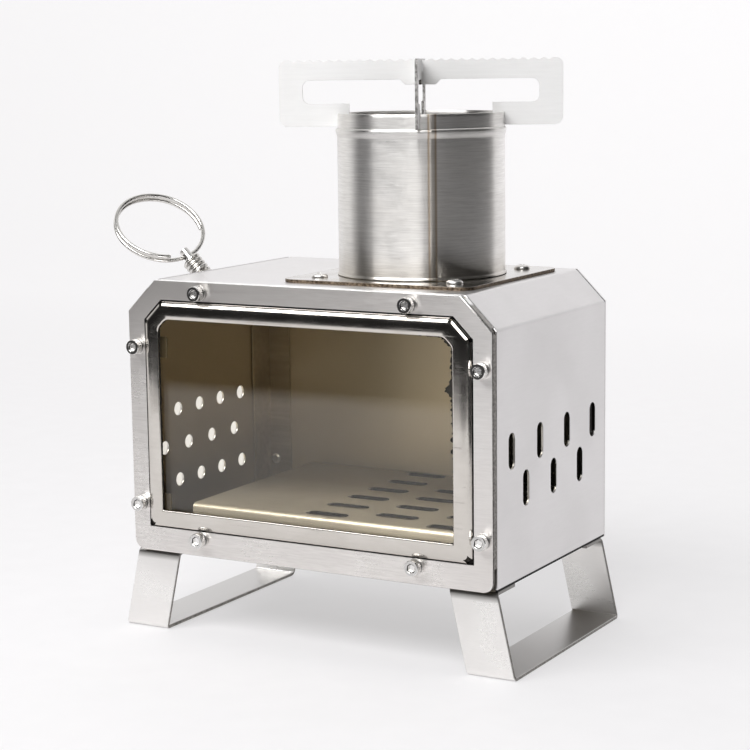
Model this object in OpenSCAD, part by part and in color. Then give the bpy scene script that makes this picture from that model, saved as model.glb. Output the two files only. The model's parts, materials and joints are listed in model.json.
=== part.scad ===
// Tabletop twig stove: a sheet-steel firebox on two strap legs, with a glass front,
// a perforated fuel door on the left, a loose chimney pipe and two crossed pot supports.
// +X is to the right of the window, +Y to the back, +Z up, and the floor is z = 0.

/* [Body] */
// Width across the front plate
body_w = 175; // [150:1:220]
// Depth from the front plate to the back panel
body_d = 112.8; // [100:0.2:140]
// Height of the firebox without its legs
body_h = 119; // [110:1:150]
// Leg of the 45 degree cut along both top edges
corner_cut = 13.5; // [10:0.5:18]
// Thickness of the body sheet
sheet_t = 1; // [0.8:0.1:1.4]
// Seam between the front plate's flange and the side sheets
seam = 0.4; // [0.3:0.1:0.8]

/* [Corner rings] */
// Width of the rear ring's web across the back
ring_web = 12; // [9:0.5:14]
// Depth of the ring's flange along the walls
ring_flange = 14; // [10:0.5:18]

/* [Front plate] */
// Depth of the flange bent back along the plate's edges
plate_flange = 3.4; // [2:0.2:3.8]
// Gap between two flanges at a corner of the plate
plate_notch = 3; // [1:0.5:5]
// Radius of the plate's bottom corners
plate_corner_r = 5; // [2:0.5:8]
// Rail beside the window opening
rail_side = 8.5; // [8:0.1:10]
// Rail above the window opening
rail_top = 8.2; // [8:0.1:10]
// Rail below the window opening
rail_bottom = 10.9; // [10:0.1:14]
// Leg of the cut at the opening's top corners
opening_cut = 8.75; // [7:0.25:11]

/* [Window] */
// Gap between the window frame and the plate's opening
frame_gap = 0.5; // [0.3:0.1:0.8]
// How far the frame stands proud of the plate
frame_proud = 2.2; // [1.4:0.1:3]
// Width of the frame's face
frame_face = 7.7; // [6:0.1:9]
// Thickness of the frame's sheet
frame_t = 0.8; // [0.6:0.1:1]
// Outer radius of the frame's bend
frame_bend = 2.5; // [1.5:0.1:3]
// How far the face's inner edge falls back
frame_fall = 0.5; // [0.2:0.1:0.8]
// Width of the lip clamped behind the plate
frame_lip = 7; // [6.5:0.1:7.5]
// Thickness of the glass
glass_t = 3; // [2:0.2:3.2]
// Gap between the glass and the frame's walls
glass_clear = 0.8; // [0.4:0.1:1.2]
// Width of the gasket between the glass and the frame's face
gasket_w = 5; // [3:0.5:6]
// Thickness of a glass clip
clip_t = 0.8; // [0.5:0.1:1]
// Width of a glass clip
clip_w = 9; // [7:0.5:12]
// Reach of a glass clip over the edge of the glass
clip_reach = 8; // [4:0.5:10]

/* [Front fasteners] */
// Thread diameter of the front screws
screw_d = 3; // [2.5:0.5:3]
// Gap between a screw and its hole
screw_clear = 0.1; // [0.05:0.05:0.2]
// Diameter of a cap head
head_d = 6.5; // [4.5:0.1:6.6]
// Height of a cap head
head_h = 3; // [2:0.2:4]
// Width across the flats of the hex socket
socket_af = 3; // [1.5:0.5:3]
// Depth of the hex socket
socket_depth = 1.4; // [0.8:0.2:1.8]
// Diameter of the flat washer under a cap head
flat_washer_d = 7; // [6:0.1:7]
// Thickness of the flat washer
flat_washer_t = 0.5; // [0.4:0.1:0.8]
// Diameter of the lock washer between the flat washer and the head
lock_washer_d = 6.2; // [5:0.1:6.4]
// Thickness of the lock washer
lock_washer_t = 0.8; // [0.6:0.1:1]
// Width of the split in the lock washer
lock_split = 0.6; // [0.4:0.1:1]
// Width across the flats of a nut
nut_af = 5; // [4.5:0.1:5.2]
// Height of a nut
nut_h = 1.6; // [1.2:0.1:1.8]
// Thread that shows behind the lower and upper nuts
thread_out = 0.9; // [0.8:0.1:1]
// Distance of the bottom screws from the opening
screw_edge_low = 3.3; // [3.2:0.1:4]
// Half the spacing of the top screws
screw_top_x = 50.5; // [40:0.5:60]
// Half the spacing of the bottom screws
screw_low_x = 52.5; // [40:0.5:60]
// Height of the upper side screws above the body's bottom
upper_screw_h = 90; // [80:1:96]
// Height of the lower side screws above the body's bottom
lower_screw_h = 21.1; // [18:0.1:30]
// Diameter of a rivet's shank
rivet_d = 3; // [2:0.2:3]
// Diameter of a rivet's head
rivet_head_d = 4.8; // [4:0.1:4.8]
// Height of a rivet's head
rivet_head_h = 1.2; // [0.8:0.1:1.6]

/* [Side slots] */
// Width of an air slot
slot_w = 6; // [4:0.5:8]
// Length of an air slot
slot_l = 15; // [10:0.5:16]
// Spacing of the slots along a row
slot_pitch = 27; // [24:0.5:28]
// Height of the lower row's middle above the body's bottom
slot_low = 37.7; // [34:0.1:42]
// Rise from the lower row to the upper row
slot_rise = 17.4; // [17:0.1:22]

/* [Fuel door] */
// Gap between the closed door and the rings it shuts on
door_gap = 0.3; // [0.2:0.05:0.5]
// Gap at the door's front, back and top edges
door_edge_gap = 0.6; // [0.4:0.1:1]
// Diameter of an air hole
hole_d = 6; // [4:0.5:7]
// Spacing of the holes in the outer rows
hole_pitch = 17; // [14:0.5:18]
// Spacing of the holes in the middle row
hole_pitch_mid = 18.7; // [14:0.1:19]
// Height of the middle row above the body's bottom
hole_row = 40.8; // [36:0.1:50]
// Rise from one row of holes to the next
hole_rise = 16.15; // [12:0.05:18]
// Shift of the outer rows towards the back, and of the middle row towards the front
hole_stagger = 4.2; // [3:0.1:6]
// Shift of all the rows from the door's middle towards the front
hole_front = 0.8; // [0:0.1:3]
// Length of the hinge
hinge_len = 60; // [40:1:66]
// Outer diameter of a hinge knuckle
knuckle_d = 4.8; // [4:0.1:5]
// Gap between the knuckles and the door's face
hinge_clear = 0.4; // [0.3:0.05:0.6]
// Gap between two knuckles
knuckle_gap = 0.5; // [0.3:0.1:1]
// Diameter of the hinge pin
pin_d = 2.5; // [2:0.1:2.8]
// Running gap between the pin and a knuckle
pin_clear = 0.05; // [0.02:0.01:0.1]
// Thickness of a hinge leaf
leaf_t = 0.8; // [0.6:0.1:1]
// Width of a hinge leaf
leaf_w = 14; // [10:0.5:18]

/* [Handle] */
// Distance of the handle behind the middle of the door
handle_y = -4.5; // [-10:0.5:10]
// Diameter of the stud through the door
stud_d = 4.4; // [4:0.1:5]
// Stud outside the door
stud_out = 19.5; // [18.5:0.5:24]
// Stud inside the door
stud_in = 5; // [4.4:0.2:7]
// Height of the two nuts on the stud
stud_nut_h = 3.2; // [2.4:0.2:3.2]
// Width across the flats of the stud's nuts
stud_nut_af = 7; // [6.4:0.1:8]
// Diameter of the washer under the spring
washer_d = 9; // [8:0.5:12]
// Thickness of the washer under the spring
washer_t = 0.8; // [0.5:0.1:1]
// Wire of the spring
spring_wire = 1.5; // [1.2:0.1:1.6]
// Gap between the spring and the stud, and between the spring and its seats
spring_clear = 0.3; // [0.2:0.05:0.5]
// Turns of the spring
spring_turns = 4.5; // [3:0.5:4.5]
// Rise of the spring in a turn
spring_pitch = 2.05; // [2.05:0.05:2.2]
// Wire of the split ring
ring_wire = 1.8; // [1.4:0.1:1.8]
// Radius of the split ring at the middle of its wire
ring_r = 20.3; // [16:0.1:24]
// Sideways step of the split ring in a turn
ring_pitch = 2.6; // [2.3:0.05:3]
// Gap between the ring's wire and the hole in the stud
ring_clear = 0.4; // [0.35:0.05:0.5]
// Angle from the stud to the ring's first end
ring_end_a = 295; // [280:1:325]
// Angle from the stud to the ring's second end
ring_end_b = 333; // [280:1:335]
// Turn of the ring's hole about the stud
handle_turn = -24; // [-45:1:45]
// Droop of the ring about its hole
ring_droop = 9; // [0:1:20]

/* [Chimney] */
// Distance of the chimney to the right of the middle
pipe_x = 25.5; // [15:0.5:30]
// Distance of the chimney behind the middle
pipe_y = 2; // [-4:0.5:6]
// Outer diameter of the pipe
pipe_d = 71.2; // [60:0.2:76]
// Wall of the pipe
pipe_t = 0.8; // [0.6:0.1:1.2]
// Height of the pipe
pipe_h = 68; // [55:0.5:90]
// Gap below the pipe's foot
pipe_rest = 0.3; // [0.1:0.1:0.5]
// How far the lip at the pipe's foot stands out
foot_out = 0.9; // [0.4:0.1:1.5]
// Height of the lip at the pipe's foot
foot_h = 1.4; // [1:0.2:3]
// Height of the plain rim above the bead
rim_h = 6; // [5.5:0.1:8]
// Height of the bead
bead_h = 4; // [2.5:0.1:5]
// How far the bead stands out
bead_out = 0.7; // [0.3:0.1:1.2]
// Turn of the pipe and pot supports on the collar
pipe_turn = 26.5; // [0:0.5:45]
// Running gap between the collar and the pipe
collar_clear = 0.1; // [0.05:0.01:0.1]
// Height of the collar above the flange plate
collar_h = 19; // [12:0.5:25]
// Width of the collar's foot under the top
collar_foot = 3; // [2:0.5:4]
// Gap that the corner rings keep from the collar's foot and the flange nuts
collar_room = 0.6; // [0.4:0.1:1]
// Side of the square flange plate
flange_w = 89; // [84:1:92]
// Thickness of the flange plate
flange_t = 1.5; // [1:0.1:2]
// Corner radius of the flange plate
flange_r = 7; // [4:0.5:10]
// Spacing of the flange screws
flange_pitch = 64; // [64:0.5:66]
// Thread diameter of the flange screws
flange_screw_d = 4; // [3:0.5:4]
// Head diameter of the flange screws
flange_head_d = 7; // [6:0.2:8]
// Head height of the flange screws
flange_head_h = 2.2; // [1.6:0.2:3]

/* [Pot supports] */
// Length of a pot support
support_len = 120; // [100:1:130]
// Height of a pot support
support_h = 28; // [24:0.5:34]
// Thickness of a pot support
support_t = 1.2; // [1:0.1:1.6]
// Gap around a support in its notch and at the crossing
support_clear = 0.3; // [0.2:0.05:0.4]
// Height of the bar along the top
support_bar = 8.6; // [7:0.2:10]
// Height of the tabs that sit in the pipe's notches
support_tab = 9.6; // [8:0.2:11]
// Width of the upright at each end
support_end = 10; // [7:0.5:12]
// Half the gap between the two tabs
tab_gap = 30.3; // [26:0.1:32]
// Corner radius outside the supports
support_r = 3.5; // [1:0.5:5]
// Corner radius at the ends of a support's window
window_r = 3; // [1:0.5:4]
// Half the width of the deeper middle
lobe_half = 7.5; // [5:0.5:10]
// Extra depth of the middle
lobe_drop = 2.2; // [1:0.1:3]
// Spacing of the waves along the top edge
wave_pitch = 4.32; // [3:0.02:6]
// Height of the waves along the top edge
wave_h = 0.8; // [0.4:0.1:1.2]
// Depth of the notches in the pipe's rim
notch_depth = 5.9; // [4:0.1:6]

/* [Grate] */
// Height of the grate's top above the body's bottom
grate_h = 22; // [16:0.5:26]
// Thickness of the grate
grate_t = 1; // [0.8:0.1:1.5]
// Gap between the grate and what it stands on or beside
grate_clear = 0.3; // [0.2:0.1:0.5]
// Distance of the grate's left end from the left wall
grate_left = 27.5; // [24:0.5:34]
// Gap between the grate's lips and the ends of the screws and rivets
grate_room = 1.3; // [0.8:0.1:3]
// Length of a grate slot
grate_slot_l = 20; // [14:0.5:22]
// Width of a grate slot
grate_slot_w = 6.5; // [3:0.5:6.5]
// Spacing of the slot columns
grate_col = 28.9; // [24:0.1:29.5]
// Spacing of the slots in a column
grate_row = 17.75; // [14:0.05:18]
// Place of the first column from the middle
grate_first = 3.7; // [0:0.1:4]

/* [Legs] */
// Height of the legs
leg_h = 36; // [25:1:60]
// Width of a leg strap
leg_w = 21.6; // [16:0.2:26]
// Thickness of a leg strap
leg_t = 1.5; // [1:0.1:2.5]
// How far a leg splays outwards to the floor
leg_splay = 8; // [0:0.5:14]
// Length of the flange under the body
leg_flange = 17; // [15.5:0.5:20]
// Distance of the legs from the front and back planes
leg_inset = 3; // [2:0.5:5]
// Distance of the leg rivets from the leg's ends
leg_rivet_in = 8.4; // [7.6:0.1:9]

/* [Hidden] */
$fn = 48;
EPS = 0.01;
CURL_RINGS = 8;
LOOP_RINGS = 24;
SQ = sqrt(2) - 1;
half_w = body_w / 2;
y_front = -body_d / 2;
y_back = body_d / 2;
z_bottom = leg_h;
z_top = leg_h + body_h;
y_wrap = y_front + plate_flange + seam;
y_panel = y_back - sheet_t;
y_side = (y_wrap + y_panel) / 2;
ring_x = half_w - sheet_t;

// Window opening, frame and the stack of sheets behind the plate
open_w = half_w - rail_side;
open_low = z_bottom + rail_bottom;
open_high = z_top - rail_top;
y_lip = y_front + sheet_t;
y_ring = y_lip + frame_t;
y_clip = y_ring + sheet_t;
y_face = y_front - frame_proud;
y_lock = y_front - flat_washer_t - lock_washer_t;
glass_in = frame_t + glass_clear;
y_gasket = y_face + frame_fall + frame_t;
y_glass = y_clip - glass_t;

// Front screws as [x, z, clip behind it]: the side and top nuts lie close to the ring's flange
nut_in = 2 * sheet_t + nut_af / 2 + screw_clear;
front_spots = [
    for (s = [-1, 1]) each [
        [s * screw_top_x, z_top - nut_in, false],
        [s * screw_low_x, open_low - screw_edge_low, false],
        [s * (half_w - nut_in), z_bottom + upper_screw_h, true],
        [s * (half_w - nut_in), z_bottom + lower_screw_h, true]
    ]
];

// Door and hinge
door_in = sheet_t - door_gap;
door_y0 = y_front + plate_flange + door_edge_gap;
door_y1 = y_panel - door_edge_gap;
hinge_x = -half_w - door_gap - hinge_clear - knuckle_d / 2;
hinge_z = z_bottom - leaf_t + knuckle_d / 2;
hinge_r = knuckle_d / 2;
knuckle_len = (hinge_len - 2 * knuckle_gap) / 3;
door_low = hinge_z + knuckle_gap;

// Handle: its own z runs along the stud, out of the door's sloping face
slope_in = corner_cut / 2 - door_gap / sqrt(2);
handle_base = [-half_w + slope_in, y_side + handle_y, z_top - slope_in];
spring_r = stud_d / 2 + spring_clear + spring_wire / 2;
spring_low = stud_nut_h + washer_t + spring_clear + spring_wire / 2;
spring_top = spring_low + spring_turns * spring_pitch + spring_wire / 2;
ring_at = spring_top + spring_clear + ring_wire / 2;

// Chimney
z_flange = z_top + flange_t;
z_pipe = z_flange + pipe_rest;
z_rim = z_pipe + pipe_h;
pipe_r = pipe_d / 2;
collar_r = pipe_r - pipe_t - collar_clear;
flange_spots = [for (a = [-1, 1], b = [-1, 1]) [a * flange_pitch / 2, b * flange_pitch / 2]];

// Pot supports, measured up from the bottom of the notches
z_support = z_rim - notch_depth + support_clear;
window_h = support_h - support_bar - support_tab;
halving = (support_bar + lobe_drop) / 2;

// Grate
grate_x0 = -half_w + grate_left;
grate_x1 = ring_x - sheet_t - grate_clear;
grate_y0 = y_clip + nut_h + thread_out + grate_room;
grate_y1 = y_panel - sheet_t - rivet_head_h / 2 - grate_room;
z_grate = z_bottom + grate_h;
grate_rows = floor((grate_y1 - grate_y0 - 2 * grate_slot_w) / grate_row);
grate_cols = floor((grate_x1 - grate_first - grate_slot_l / 2) / grate_col);
grate_mid = (grate_y0 + grate_y1) / 2;

leg_x0 = half_w - leg_w;
leg_y0 = y_front + leg_inset;
leg_y1 = y_back - leg_inset;
leg_spots = [
    for (s = [-1, 1], u = [0.25, 0.75], y = [leg_y0 + leg_rivet_in, leg_y1 - leg_rivet_in])
        [s * (leg_x0 + u * leg_w), y]
];

// A six-sided outline with both top corners cut, drawn in by d
function cut_outline(w, low, high, cut, d) = let (x = w - d, k = cut + d * SQ) [
    [-x, low + d], [x, low + d], [x, high - k], [w - k, high - d], [k - w, high - d], [-x, high - k]
];
function body_outline(d) = cut_outline(half_w, z_bottom, z_top, corner_cut, d);
function open_outline(d) = cut_outline(open_w, open_low, open_high, opening_cut, d);

// Stands a drawing in x and z upright, from y = y0 towards the back
module upright(y0, t) {
    translate([0, y0 + t, 0])
        rotate([90, 0, 0])
            linear_extrude(t)
                children();
}

// A plate between two outlines
module outline_ring(outer, inner) {
    difference() {
        polygon(outer);
        polygon(inner);
    }
}

// A slot with round ends along x
module long_slot(l, w) {
    square([l - w, w], center = true);
    for (s = [-1, 1])
        translate([s * (l - w) / 2, 0])
            circle(d = w);
}

// A rectangle with round corners
module round_rect(w, h, r) {
    square([w - 2 * r, h], center = true);
    square([w, h - 2 * r], center = true);
    for (a = [-1, 1], b = [-1, 1])
        translate([a * (w / 2 - r), b * (h / 2 - r)])
            circle(r);
}

// Holes at the front screws, which the back rivets repeat
module fastener_holes(y0, t, d) {
    for (p = front_spots)
        translate([p[0], y0 - EPS, p[1]])
            rotate([-90, 0, 0])
                cylinder(d = d, h = t + 2 * EPS);
}

// A hexagon given by its width across the flats
module hex(af, h) {
    cylinder(d = af / cos(30), h = h, $fn = 6);
}

// A domed head that sits on z = 0
module dome(d, h) {
    r = (d * d / 4 + h * h) / (2 * h);
    rotate_extrude()
        intersection() {
            square([d / 2, h]);
            translate([0, h - r])
                circle(r, $fn = 96);
        }
}

// A closed tube through a list of rings of points
module tube(rings) {
    n = len(rings);
    k = len(rings[0]);
    sides = [
        for (i = [0:n - 2], j = [0:k - 1]) let (a = i * k + j, b = i * k + (j + 1) % k) each
            [[a, b, b + k], [a, b + k, a + k]]
    ];
    caps = [
        for (j = [1:k - 2]) each [[0, j + 1, j], [(n - 1) * k, (n - 1) * k + j, (n - 1) * k + j + 1]]
    ];
    polyhedron([for (r = rings) each r], concat(sides, caps));
}

// Six points round p, in the plane of the two directions u and v
function wire_ring(p, u, v, d) = [for (j = [0:5]) p + d / 2 * (cos(60 * j) * u + sin(60 * j) * v)];

// Least distance between points of a path that lie at least one turn apart, less the wire
function least_gap(path, turn, d) =
    min([for (i = [0:len(path) - 1 - turn], j = [i + turn:len(path) - 1]) norm(path[i] - path[j])]) - d;

module front_plate() {
    r = plate_corner_r;
    color("lightgray")
    difference() {
        union() {
            upright(y_front, sheet_t)
                difference() {
                    union() {
                        polygon([for (p = body_outline(0)) [p[0], max(p[1], z_bottom + r)]]);
                        translate([r - half_w, z_bottom])
                            square([body_w - 2 * r, 2 * r]);
                        for (s = [-1, 1])
                            translate([s * (half_w - r), z_bottom + r])
                                circle(r);
                    }
                    polygon(open_outline(0));
                }
            difference() {
                upright(y_front, plate_flange)
                    outline_ring(body_outline(0), body_outline(sheet_t));
                for (p = [for (i = [2:5]) body_outline(0)[i]])
                    translate([p[0], y_front + sheet_t + plate_flange, p[1]])
                        rotate([90, 0, 0])
                            cylinder(d = plate_notch, h = plate_flange);
                for (s = [-1, 1])
                    translate([s * half_w - 2 * r, y_front - EPS, z_bottom - EPS])
                        cube([4 * r, plate_flange + 2 * EPS, 2 * r]);
            }
        }
        fastener_holes(y_front, sheet_t, screw_d + 2 * screw_clear);
    }
}

// The frame's section as [distance in from the outline, y]: outside first, then back along the inside
function frame_section() = let (b = frame_bend, c = frame_bend - frame_t) concat(
    [[0, y_ring]],
    [for (a = [0:22.5:90]) [b - b * cos(a), y_face + b - b * sin(a)]],
    [[frame_face, y_face + frame_fall], [frame_face, y_face + frame_fall + frame_t]],
    [for (a = [90:-22.5:0]) [b - c * cos(a), y_face + b - c * sin(a)]],
    [[frame_t, y_ring]]
);

module window_frame() {
    section = frame_section();
    n = len(section);
    points = [for (s = section) each [for (p = open_outline(frame_gap + s[0])) [p[0], s[1], p[1]]]];
    faces = [
        for (i = [0:n - 1], j = [0:5]) let (a = i * 6, b = ((i + 1) % n) * 6, k = (j + 1) % 6) each
            [[a + j, b + j, b + k], [a + j, b + k, a + k]]
    ];
    color("gainsboro") {
        polyhedron(points, faces);
        difference() {
            upright(y_lip, frame_t)
                outline_ring(open_outline(frame_gap - frame_lip), open_outline(frame_gap + frame_t / 2));
            fastener_holes(y_lip, frame_t, screw_d + 2 * screw_clear);
        }
    }
}

module glass_gasket() {
    inset = frame_gap + glass_in;
    color("dimgray")
    upright(y_gasket, y_glass - y_gasket)
        outline_ring(open_outline(inset), open_outline(inset + gasket_w));
}

module window_glass() {
    color("tan", 0.5)
    upright(y_glass, glass_t)
        polygon(open_outline(frame_gap + glass_in));
}

module glass_clips() {
    x0 = open_w - frame_gap - glass_in - clip_reach;
    x1 = ring_x - sheet_t - screw_clear;
    color("slategray")
    difference() {
        for (p = front_spots)
            if (p[2])
                upright(y_clip, clip_t)
                    translate([sign(p[0]) * (x0 + x1) / 2, p[1]])
                        square([x1 - x0, clip_w], center = true);
        fastener_holes(y_clip, clip_t, screw_d + 2 * screw_clear);
    }
}

module front_screws() {
    color("silver")
    for (p = front_spots)
        translate([p[0], y_lock, p[1]])
            rotate([-90, 0, 0]) {
                difference() {
                    translate([0, 0, -head_h])
                        cylinder(d = head_d, h = head_h);
                    translate([0, 0, -head_h - EPS])
                        hex(socket_af, socket_depth + EPS);
                }
                cylinder(d = screw_d, h = y_clip + nut_h + thread_out - y_lock);
            }
}

// A washer for a front screw, from y = y0
module screw_washers(y0, d, t) {
    for (p = front_spots)
        translate([p[0], y0, p[1]])
            rotate([-90, 0, 0])
                difference() {
                    cylinder(d = d, h = t);
                    translate([0, 0, -EPS])
                        cylinder(d = screw_d + 2 * screw_clear, h = t + 2 * EPS);
                }
}

module flat_washers() {
    color("gainsboro")
    screw_washers(y_front - flat_washer_t, flat_washer_d, flat_washer_t);
}

module lock_washers() {
    color("darkgray")
    difference() {
        screw_washers(y_lock, lock_washer_d, lock_washer_t);
        for (p = front_spots)
            translate([p[0], y_lock - EPS, p[1] - lock_split / 2])
                cube([lock_washer_d, lock_washer_t + 2 * EPS, lock_split]);
    }
}

module front_nuts() {
    color("darkgray")
    for (p = front_spots)
        translate([p[0], y_clip + (p[2] ? clip_t : 0), p[1]])
            rotate([-90, p[2] ? 30 : 0, 0])
                difference() {
                    hex(nut_af, nut_h);
                    translate([0, 0, -EPS])
                        cylinder(d = screw_d + 2 * screw_clear, h = nut_h + 2 * EPS);
                }
}

// An angle-section ring inside the body: a web round an opening, and a flange along the walls
module corner_ring(y_web, y_flange, opening) {
    upright(y_web, sheet_t)
        outline_ring(body_outline(sheet_t), opening);
    upright(y_flange, ring_flange)
        outline_ring(body_outline(sheet_t), body_outline(2 * sheet_t));
}

// Holes for the leg rivets
module leg_holes(z, h) {
    for (p = leg_spots)
        translate([p[0], p[1], z - EPS])
            cylinder(d = rivet_d + 2 * screw_clear, h = h + 2 * EPS);
}

// Room for the collar's foot and the flange nuts where they reach the rings
module collar_relief() {
    z_relief = z_top - 3 * sheet_t;
    translate([pipe_x, pipe_y, z_relief]) {
        cylinder(r = collar_r + collar_foot + collar_room, h = 3 * sheet_t, $fn = 96);
        for (p = flange_spots)
            translate(p)
                cylinder(d = flange_head_d / cos(30) + 2 * collar_room, h = 3 * sheet_t);
    }
}

module front_ring() {
    color("gray")
    difference() {
        corner_ring(y_ring, y_clip, open_outline(frame_gap));
        fastener_holes(y_ring, sheet_t, screw_d + 2 * screw_clear);
        leg_holes(z_bottom + sheet_t, sheet_t);
        collar_relief();
    }
}

module rear_ring() {
    y_web = y_panel - sheet_t;
    color("gray")
    difference() {
        corner_ring(y_web, y_web - ring_flange, body_outline(sheet_t + ring_web));
        fastener_holes(y_web, sheet_t, rivet_d + 2 * screw_clear);
        leg_holes(z_bottom + sheet_t, sheet_t);
        collar_relief();
    }
}

// Right side, right cut and top, bent from one sheet
module body_wrap() {
    outer = body_outline(0);
    inner = body_outline(sheet_t);
    x_left = -half_w + corner_cut + door_in * SQ + door_edge_gap;
    color("whitesmoke")
    difference() {
        upright(y_wrap, y_panel - y_wrap)
            polygon([
                [half_w, z_bottom], outer[2], outer[3], [x_left, z_top],
                [x_left, z_top - sheet_t], inner[3], inner[2], [ring_x, z_bottom]
            ]);
        for (row = [0, 1], i = [0:2 + row])
            translate([
                ring_x - EPS,
                y_side + (i - 1 - row / 2) * slot_pitch,
                z_bottom + slot_low + row * slot_rise
            ])
                rotate([90, 90, 90])
                    linear_extrude(sheet_t + 2 * EPS)
                        long_slot(slot_l, slot_w);
        translate([pipe_x, pipe_y, z_top - sheet_t - EPS])
            cylinder(r = collar_r + screw_clear, h = sheet_t + 2 * EPS, $fn = 96);
        flange_holes(z_top - sheet_t, sheet_t);
    }
}

// Holes for the flange screws
module flange_holes(z, h) {
    for (p = flange_spots)
        translate([pipe_x + p[0], pipe_y + p[1], z - EPS])
            cylinder(d = flange_screw_d + 2 * screw_clear, h = h + 2 * EPS);
}

module bottom_panel() {
    color("lightgray")
    difference() {
        translate([-ring_x, y_wrap, z_bottom])
            cube([2 * ring_x, y_panel - y_wrap, sheet_t]);
        leg_holes(z_bottom, sheet_t);
    }
}

module back_panel() {
    color("lightgray")
    difference() {
        upright(y_panel, sheet_t)
            polygon(body_outline(0));
        fastener_holes(y_panel, sheet_t, rivet_d + 2 * screw_clear);
    }
}

// A rivet from z = 0 through t, with a domed head outside and a flat one inside
module rivet(t) {
    rotate([180, 0, 0])
        dome(rivet_head_d, rivet_head_h);
    cylinder(d = rivet_d, h = t);
    translate([0, 0, t])
        cylinder(d1 = rivet_head_d, d2 = rivet_d, h = rivet_head_h / 2);
}

module back_rivets() {
    color("silver")
    for (p = front_spots)
        translate([p[0], y_back, p[1]])
            rotate([90, 0, 0])
                rivet(2 * sheet_t);
}

module chimney_flange() {
    color("burlywood")
    difference() {
        translate([pipe_x, pipe_y, z_top])
            linear_extrude(flange_t)
                round_rect(flange_w, flange_w, flange_r);
        translate([pipe_x, pipe_y, z_top - EPS])
            cylinder(r = collar_r + screw_clear, h = flange_t + 2 * EPS, $fn = 96);
        flange_holes(z_top, flange_t);
    }
}

module flange_screws() {
    color("silver")
    for (p = flange_spots)
        translate([pipe_x + p[0], pipe_y + p[1], z_flange]) {
            dome(flange_head_d, flange_head_h);
            translate([0, 0, -flange_t - sheet_t - nut_h - thread_out])
                cylinder(d = flange_screw_d, h = flange_t + sheet_t + nut_h + thread_out);
        }
}

module flange_nuts() {
    color("darkgray")
    for (p = flange_spots)
        translate([pipe_x + p[0], pipe_y + p[1], z_top - sheet_t - nut_h])
            difference() {
                hex(flange_head_d, nut_h);
                translate([0, 0, -EPS])
                    cylinder(d = flange_screw_d + 2 * screw_clear, h = nut_h + 2 * EPS);
            }
}

module chimney_collar() {
    z_foot = z_top - 2 * sheet_t;
    color("silver")
    translate([pipe_x, pipe_y, 0])
        rotate_extrude($fn = 96)
            polygon([
                [collar_r - pipe_t, z_foot], [collar_r + collar_foot, z_foot],
                [collar_r + collar_foot, z_foot + sheet_t], [collar_r, z_foot + sheet_t],
                [collar_r, z_flange + collar_h], [collar_r - pipe_t, z_flange + collar_h]
            ]);
}

// Turns a child with the pipe about the chimney's axis
module on_pipe(a = 0) {
    translate([pipe_x, pipe_y, 0])
        rotate([0, 0, pipe_turn + a])
            children();
}

module chimney_pipe() {
    z_bead = z_rim - rim_h - bead_h;
    bead = [
        for (a = [0:15:180]) [pipe_r + bead_out * sin(a), z_bead + bead_h * (1 - cos(a)) / 2]
    ];
    inner = [
        for (i = [len(bead) - 1:-1:0]) [bead[i][0] - pipe_t, bead[i][1]]
    ];
    color("lightgray")
    on_pipe()
        difference() {
            rotate_extrude($fn = 96)
                polygon(concat(
                    [[pipe_r - pipe_t, z_pipe], [pipe_r + foot_out, z_pipe]],
                    [[pipe_r + foot_out, z_pipe + foot_h / 2], [pipe_r, z_pipe + foot_h]],
                    bead,
                    [[pipe_r, z_rim], [pipe_r - pipe_t, z_rim]],
                    inner
                ));
            for (a = [0:90:270])
                rotate([0, 0, a])
                    translate([pipe_r - 2 * pipe_t, -support_t / 2 - support_clear, z_rim - notch_depth])
                        cube([4 * pipe_t, support_t + 2 * support_clear, notch_depth + EPS]);
        }
}

// A pot support drawn from its bottom edge, with the slot for the crossing from slot_z up
module support_plate(slot_z) {
    half = support_len / 2;
    waves = round(support_len / wave_pitch) - 2;
    steps = 8 * waves;
    wave_x = waves * wave_pitch / 2;
    rotate([90, 0, 0])
        translate([0, z_support, -support_t / 2])
            linear_extrude(support_t)
                difference() {
                    union() {
                        difference() {
                            translate([0, support_h / 2])
                                round_rect(support_len, support_h, support_r);
                            translate([0, support_tab + window_h / 2])
                                round_rect(support_len - 2 * support_end, window_h, window_r);
                            translate([-tab_gap, -EPS])
                                square([2 * tab_gap, support_tab + window_h / 2]);
                        }
                        translate([0, support_h - support_bar])
                            polygon([
                                [-lobe_half + lobe_drop / 2, -lobe_drop], [lobe_half - lobe_drop / 2, -lobe_drop],
                                [lobe_half + lobe_drop / 2, 0], [lobe_half, support_bar / 2],
                                [-lobe_half, support_bar / 2], [-lobe_half - lobe_drop / 2, 0]
                            ]);
                    }
                    polygon(concat(
                        [[-wave_x, support_h + wave_h], [-wave_x, support_h]],
                        [for (i = [0:steps])
                            [-wave_x + i * 2 * wave_x / steps, support_h - wave_h * (1 - cos(45 * i)) / 2]],
                        [[wave_x, support_h + wave_h]]
                    ));
                    translate([-support_t / 2 - support_clear, slot_z])
                        square([support_t + 2 * support_clear, halving + support_clear]);
                }
}

module pot_support_a() {
    color("white")
    on_pipe()
        support_plate(support_h - halving);
}

module pot_support_b() {
    color("white")
    on_pipe(90)
        support_plate(support_h - 2 * halving - 2 * EPS);
}

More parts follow.
